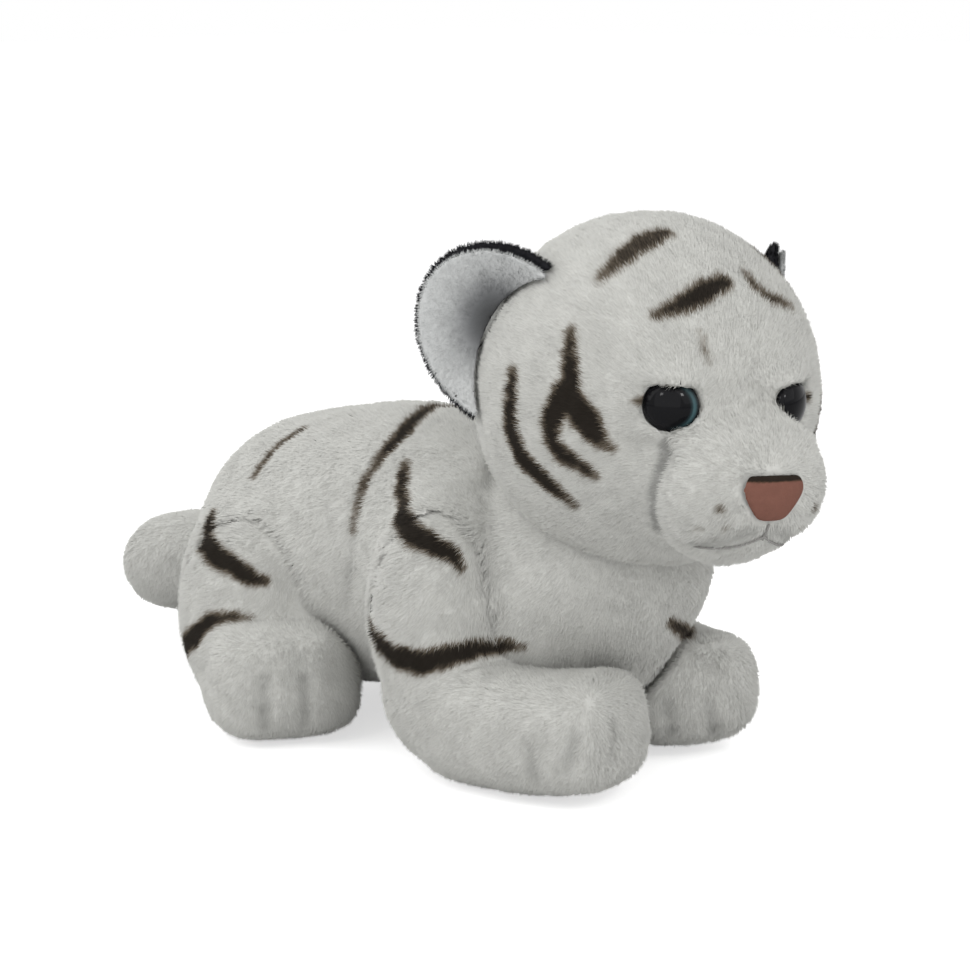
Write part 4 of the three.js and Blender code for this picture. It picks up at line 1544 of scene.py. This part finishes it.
# Tail tip
# The black tip is a stuffed piece of plush of its own.
# Its round start is sewn in the hollow end of the tail and bends there.
tip_length = 34.0
tip_cap = 14.0
tip_end_share = 0.8
deep_in_tail = 1.0
sole_height = 0.4
tail_end = tail_spine[-1] - tail_spine[-2]
tail_end /= np.linalg.norm(tail_end)
tip_far = tip_middle + tail_end * tip_length
tip_far[2] = tip_radius - pressed_down
tip_end_radius = tip_radius * tip_end_share
tip_tube = limb(
    [tip_middle, (tip_middle + tip_far) / 2, tip_far],
    [(tip_radius,) * 3, (tip_radius,) * 3, (tip_radius, tip_end_radius, tip_end_radius)],
    (tail_end_cap, tip_cap),
)


def tip_under_pile(points):
    """The tip below its pile, cut flat where it lies on the ground."""
    form = smooth_least([tip_tube(points), tip_ball(points)], 1.5)
    return np.maximum(form + skin_depth, sole_height - points[:, 2])


tip_low = tip_middle - (22, 46, 20)
tip_high = tip_middle + (26, 22, 22)
tip_step = 1.5
tip_cloth = skin(
    "tail_tip_cloth", "tail_tip", tip_under_pile, tip_low, tip_high, tip_step,
    ("tail_tip_skin", "tail_tip_filling"), slot="dark_plush", material=black_plush,
)
tip_hair = pile(
    tip_cloth, lambda points: tail_tube(points) < -deep_in_tail, toward(0.2, -1.0, -0.1), 67, per_square=3.5,
)
for piece in (tip_cloth, tip_hair):
    paint(piece, "dyed", np.ones(len(piece.data.vertices)))

# Forelegs
# Each is one stuffed skin of white plush: a round shoulder and elbow, with the forearm and paw bent forward.
# It turns in a pocket of the torso, and sewn lines part its toes.
forepaw = {"x": -14.0, "y": -67.0, "lead": 9.0, "raise": 4.0, "half": (28.0, 21.5), "cap": 15.0, "bow": 3.0}
forearm_sections = [(0.84, 1.00), (0.92, 0.98), (1.00, 0.92)]
forearm_middle = 0.55
forearm_squareness = 2.9
paw_bluntness = 2.6
foreleg_softness = 5.0
foreleg_reach = (46, 100, 32, 98)
leg_depth = 0.8
leg_step = 1.6
toe_start = -98.0
toe_run = 26.0
toe_rise = 8.0


def paw_limb(line, paw, sections, middle_share, side, squareness):
    """A limb along the ground from its turning line to the toes."""
    half_width, half_height = paw["half"]
    height = half_height - pressed_down
    tip_y = paw["y"] + side * paw["lead"]
    base = np.array([side * line[0], line[1], 0.0]) + lie
    spine = [
        base + (0.0, 0.0, height),
        base + (side * (paw["x"] / 2 + paw["bow"]), tip_y * middle_share, height),
        base + (side * paw["x"], tip_y, height + paw["raise"]),
    ]
    sizes = [(wide * half_width, high * half_height, high * half_height) for wide, high in sections]
    return limb(spine, sizes, (0.8 * half_width, paw["cap"]), squareness, paw_bluntness)


def leg_form(column, limb_form, creases, softness):
    """A leg below its pile, with a flat sole that rounds up to the toes of a forepaw."""
    def field(points):
        limb_field = less(limb_form(points), torso_outside(points) - seam_gap, 2.0)
        leg = smooth_least([column(points), limb_field], softness)
        toes = np.clip((toe_start + lie[1] - points[:, 1]) / toe_run, 0, 1)
        sole = sole_height - leg_depth + toe_rise * toes ** 1.5 - points[:, 2]
        leg = -smooth_least([-leg - creased(points, creases), -sole], 0.4 + 2.0 * toes)
        return leg + leg_depth * np.clip(np.abs(torso_blank(points)) / seam_run, 0.15, 1.0)

    return field


deep_in_pocket = 4.0


def leg_hidden(points):
    """Where a leg lies deep in its pocket."""
    return torso_blank(points) < -deep_in_pocket


def sewn_leg(name, form, creases, line, side, reach, seed):
    """The cloth and pile of a leg; reach tells how far it goes aside, forward, back and up."""
    x, y = side * line[0], line[1] + lie[1]
    aside, forward, back, up = reach
    cloth = skin(
        name + "_cloth", name, form, (x - aside, y - forward, -2), (x + aside, y + back, up), leg_step,
        (name + "_skin", name + "_filling"), stripes=body_stripes, creases=creases, even=evened,
    )
    pile(cloth, leg_hidden, back_and_down, seed, stripes=body_stripes, creases=creases, even=evened)


toe_creases = {
    "right": [
        [(528, 748, 1.3), (531, 764, 1.6), (535, 779, 1.4)],
        [(576, 736, 1.3), (573, 752, 1.6), (565, 768, 1.4)],
        [(615, 722, 1.3), (618, 738, 1.5), (613, 754, 1.3)],
    ],
    "left": [
        [(668, 705, 1.3), (671, 728, 1.4), (668, 748, 1.2)],
        [(710, 703, 1.3), (713, 726, 1.4), (711, 745, 1.2)],
    ],
}
for word, side in sides:
    forearm = paw_limb(foreleg_line, forepaw, forearm_sections, forearm_middle, side, forearm_squareness)
    creases = drawn_on(forearm, toe_creases[word])
    form = leg_form(forelegs[word], forearm, creases, foreleg_softness)
    sewn_leg(word + "_foreleg", form, creases, foreleg_line, side, foreleg_reach, 31 + side)

# Hind legs
# Each is a round thigh with a short broad foot in front of it, one stuffed skin of white plush.
# It turns in a pocket of the torso. The foot is flat in front, and sewn lines part its toes.
hindpaw = {"x": 22.0, "y": -43.0, "lead": 0.0, "raise": 3.0, "half": (29.0, 21.0), "cap": 14.0, "bow": 0.0}
foot_sections = [(0.84, 1.00), (0.94, 1.00), (1.00, 0.98)]
foot_middle = 0.5
foot_squareness = 3.4
hindleg_softness = 4.0
hindleg_reach = (62, 80, 36, 84)
foot_creases = [
    [(265, 680, 1.3), (266, 700, 1.5), (266, 726, 1.3)],
    [(305, 678, 1.3), (307, 700, 1.5), (307, 724, 1.3)],
]
feet = {
    word: paw_limb(hindleg_line, hindpaw, foot_sections, foot_middle, side, foot_squareness)
    for word, side in sides
}
creases = drawn_on(feet["right"], foot_creases)
for word, side in sides:
    form = leg_form(thighs[word], feet[word], creases, hindleg_softness)
    sewn_leg(word + "_hindleg", form, creases, hindleg_line, side, hindleg_reach, 41 + side)
    creases = [np.column_stack([mirrored(line[:, :3]), line[:, 3:]]) for line in creases]

# Floor
# A wide pale table, seen as white.
# It keeps the cub's soft shadow, and isn't part of the toy.
table_half = 6.0
table_drop = 0.0015
table_glow = 0.62
table_corners = [(-table_half, -table_half, 0), (table_half, -table_half, 0)]
table_corners += [(table_half, table_half, 0), (-table_half, table_half, 0)]
table_mesh = bpy.data.meshes.new("table")
table_mesh.from_pydata(table_corners, [], [(0, 1, 2, 3)])
table = placed("table", table_mesh)
table.location.z = -table_drop
table_top, shader, nodes, links = new_material("pale table")
shader.inputs["Base Color"].default_value = (0.8, 0.8, 0.8, 1.0)
shader.inputs["Roughness"].default_value = 0.9
shader.inputs["Emission Color"].default_value = (1.0, 1.0, 1.0, 1.0)
paths = nodes.new("ShaderNodeLightPath")
glow = nodes.new("ShaderNodeMath")
glow.operation = "MULTIPLY"
glow.inputs[1].default_value = table_glow
links.new(paths.outputs["Is Camera Ray"], glow.inputs[0])
links.new(glow.outputs[0], shader.inputs["Emission Strength"])
table_mesh.materials.append(table_top)
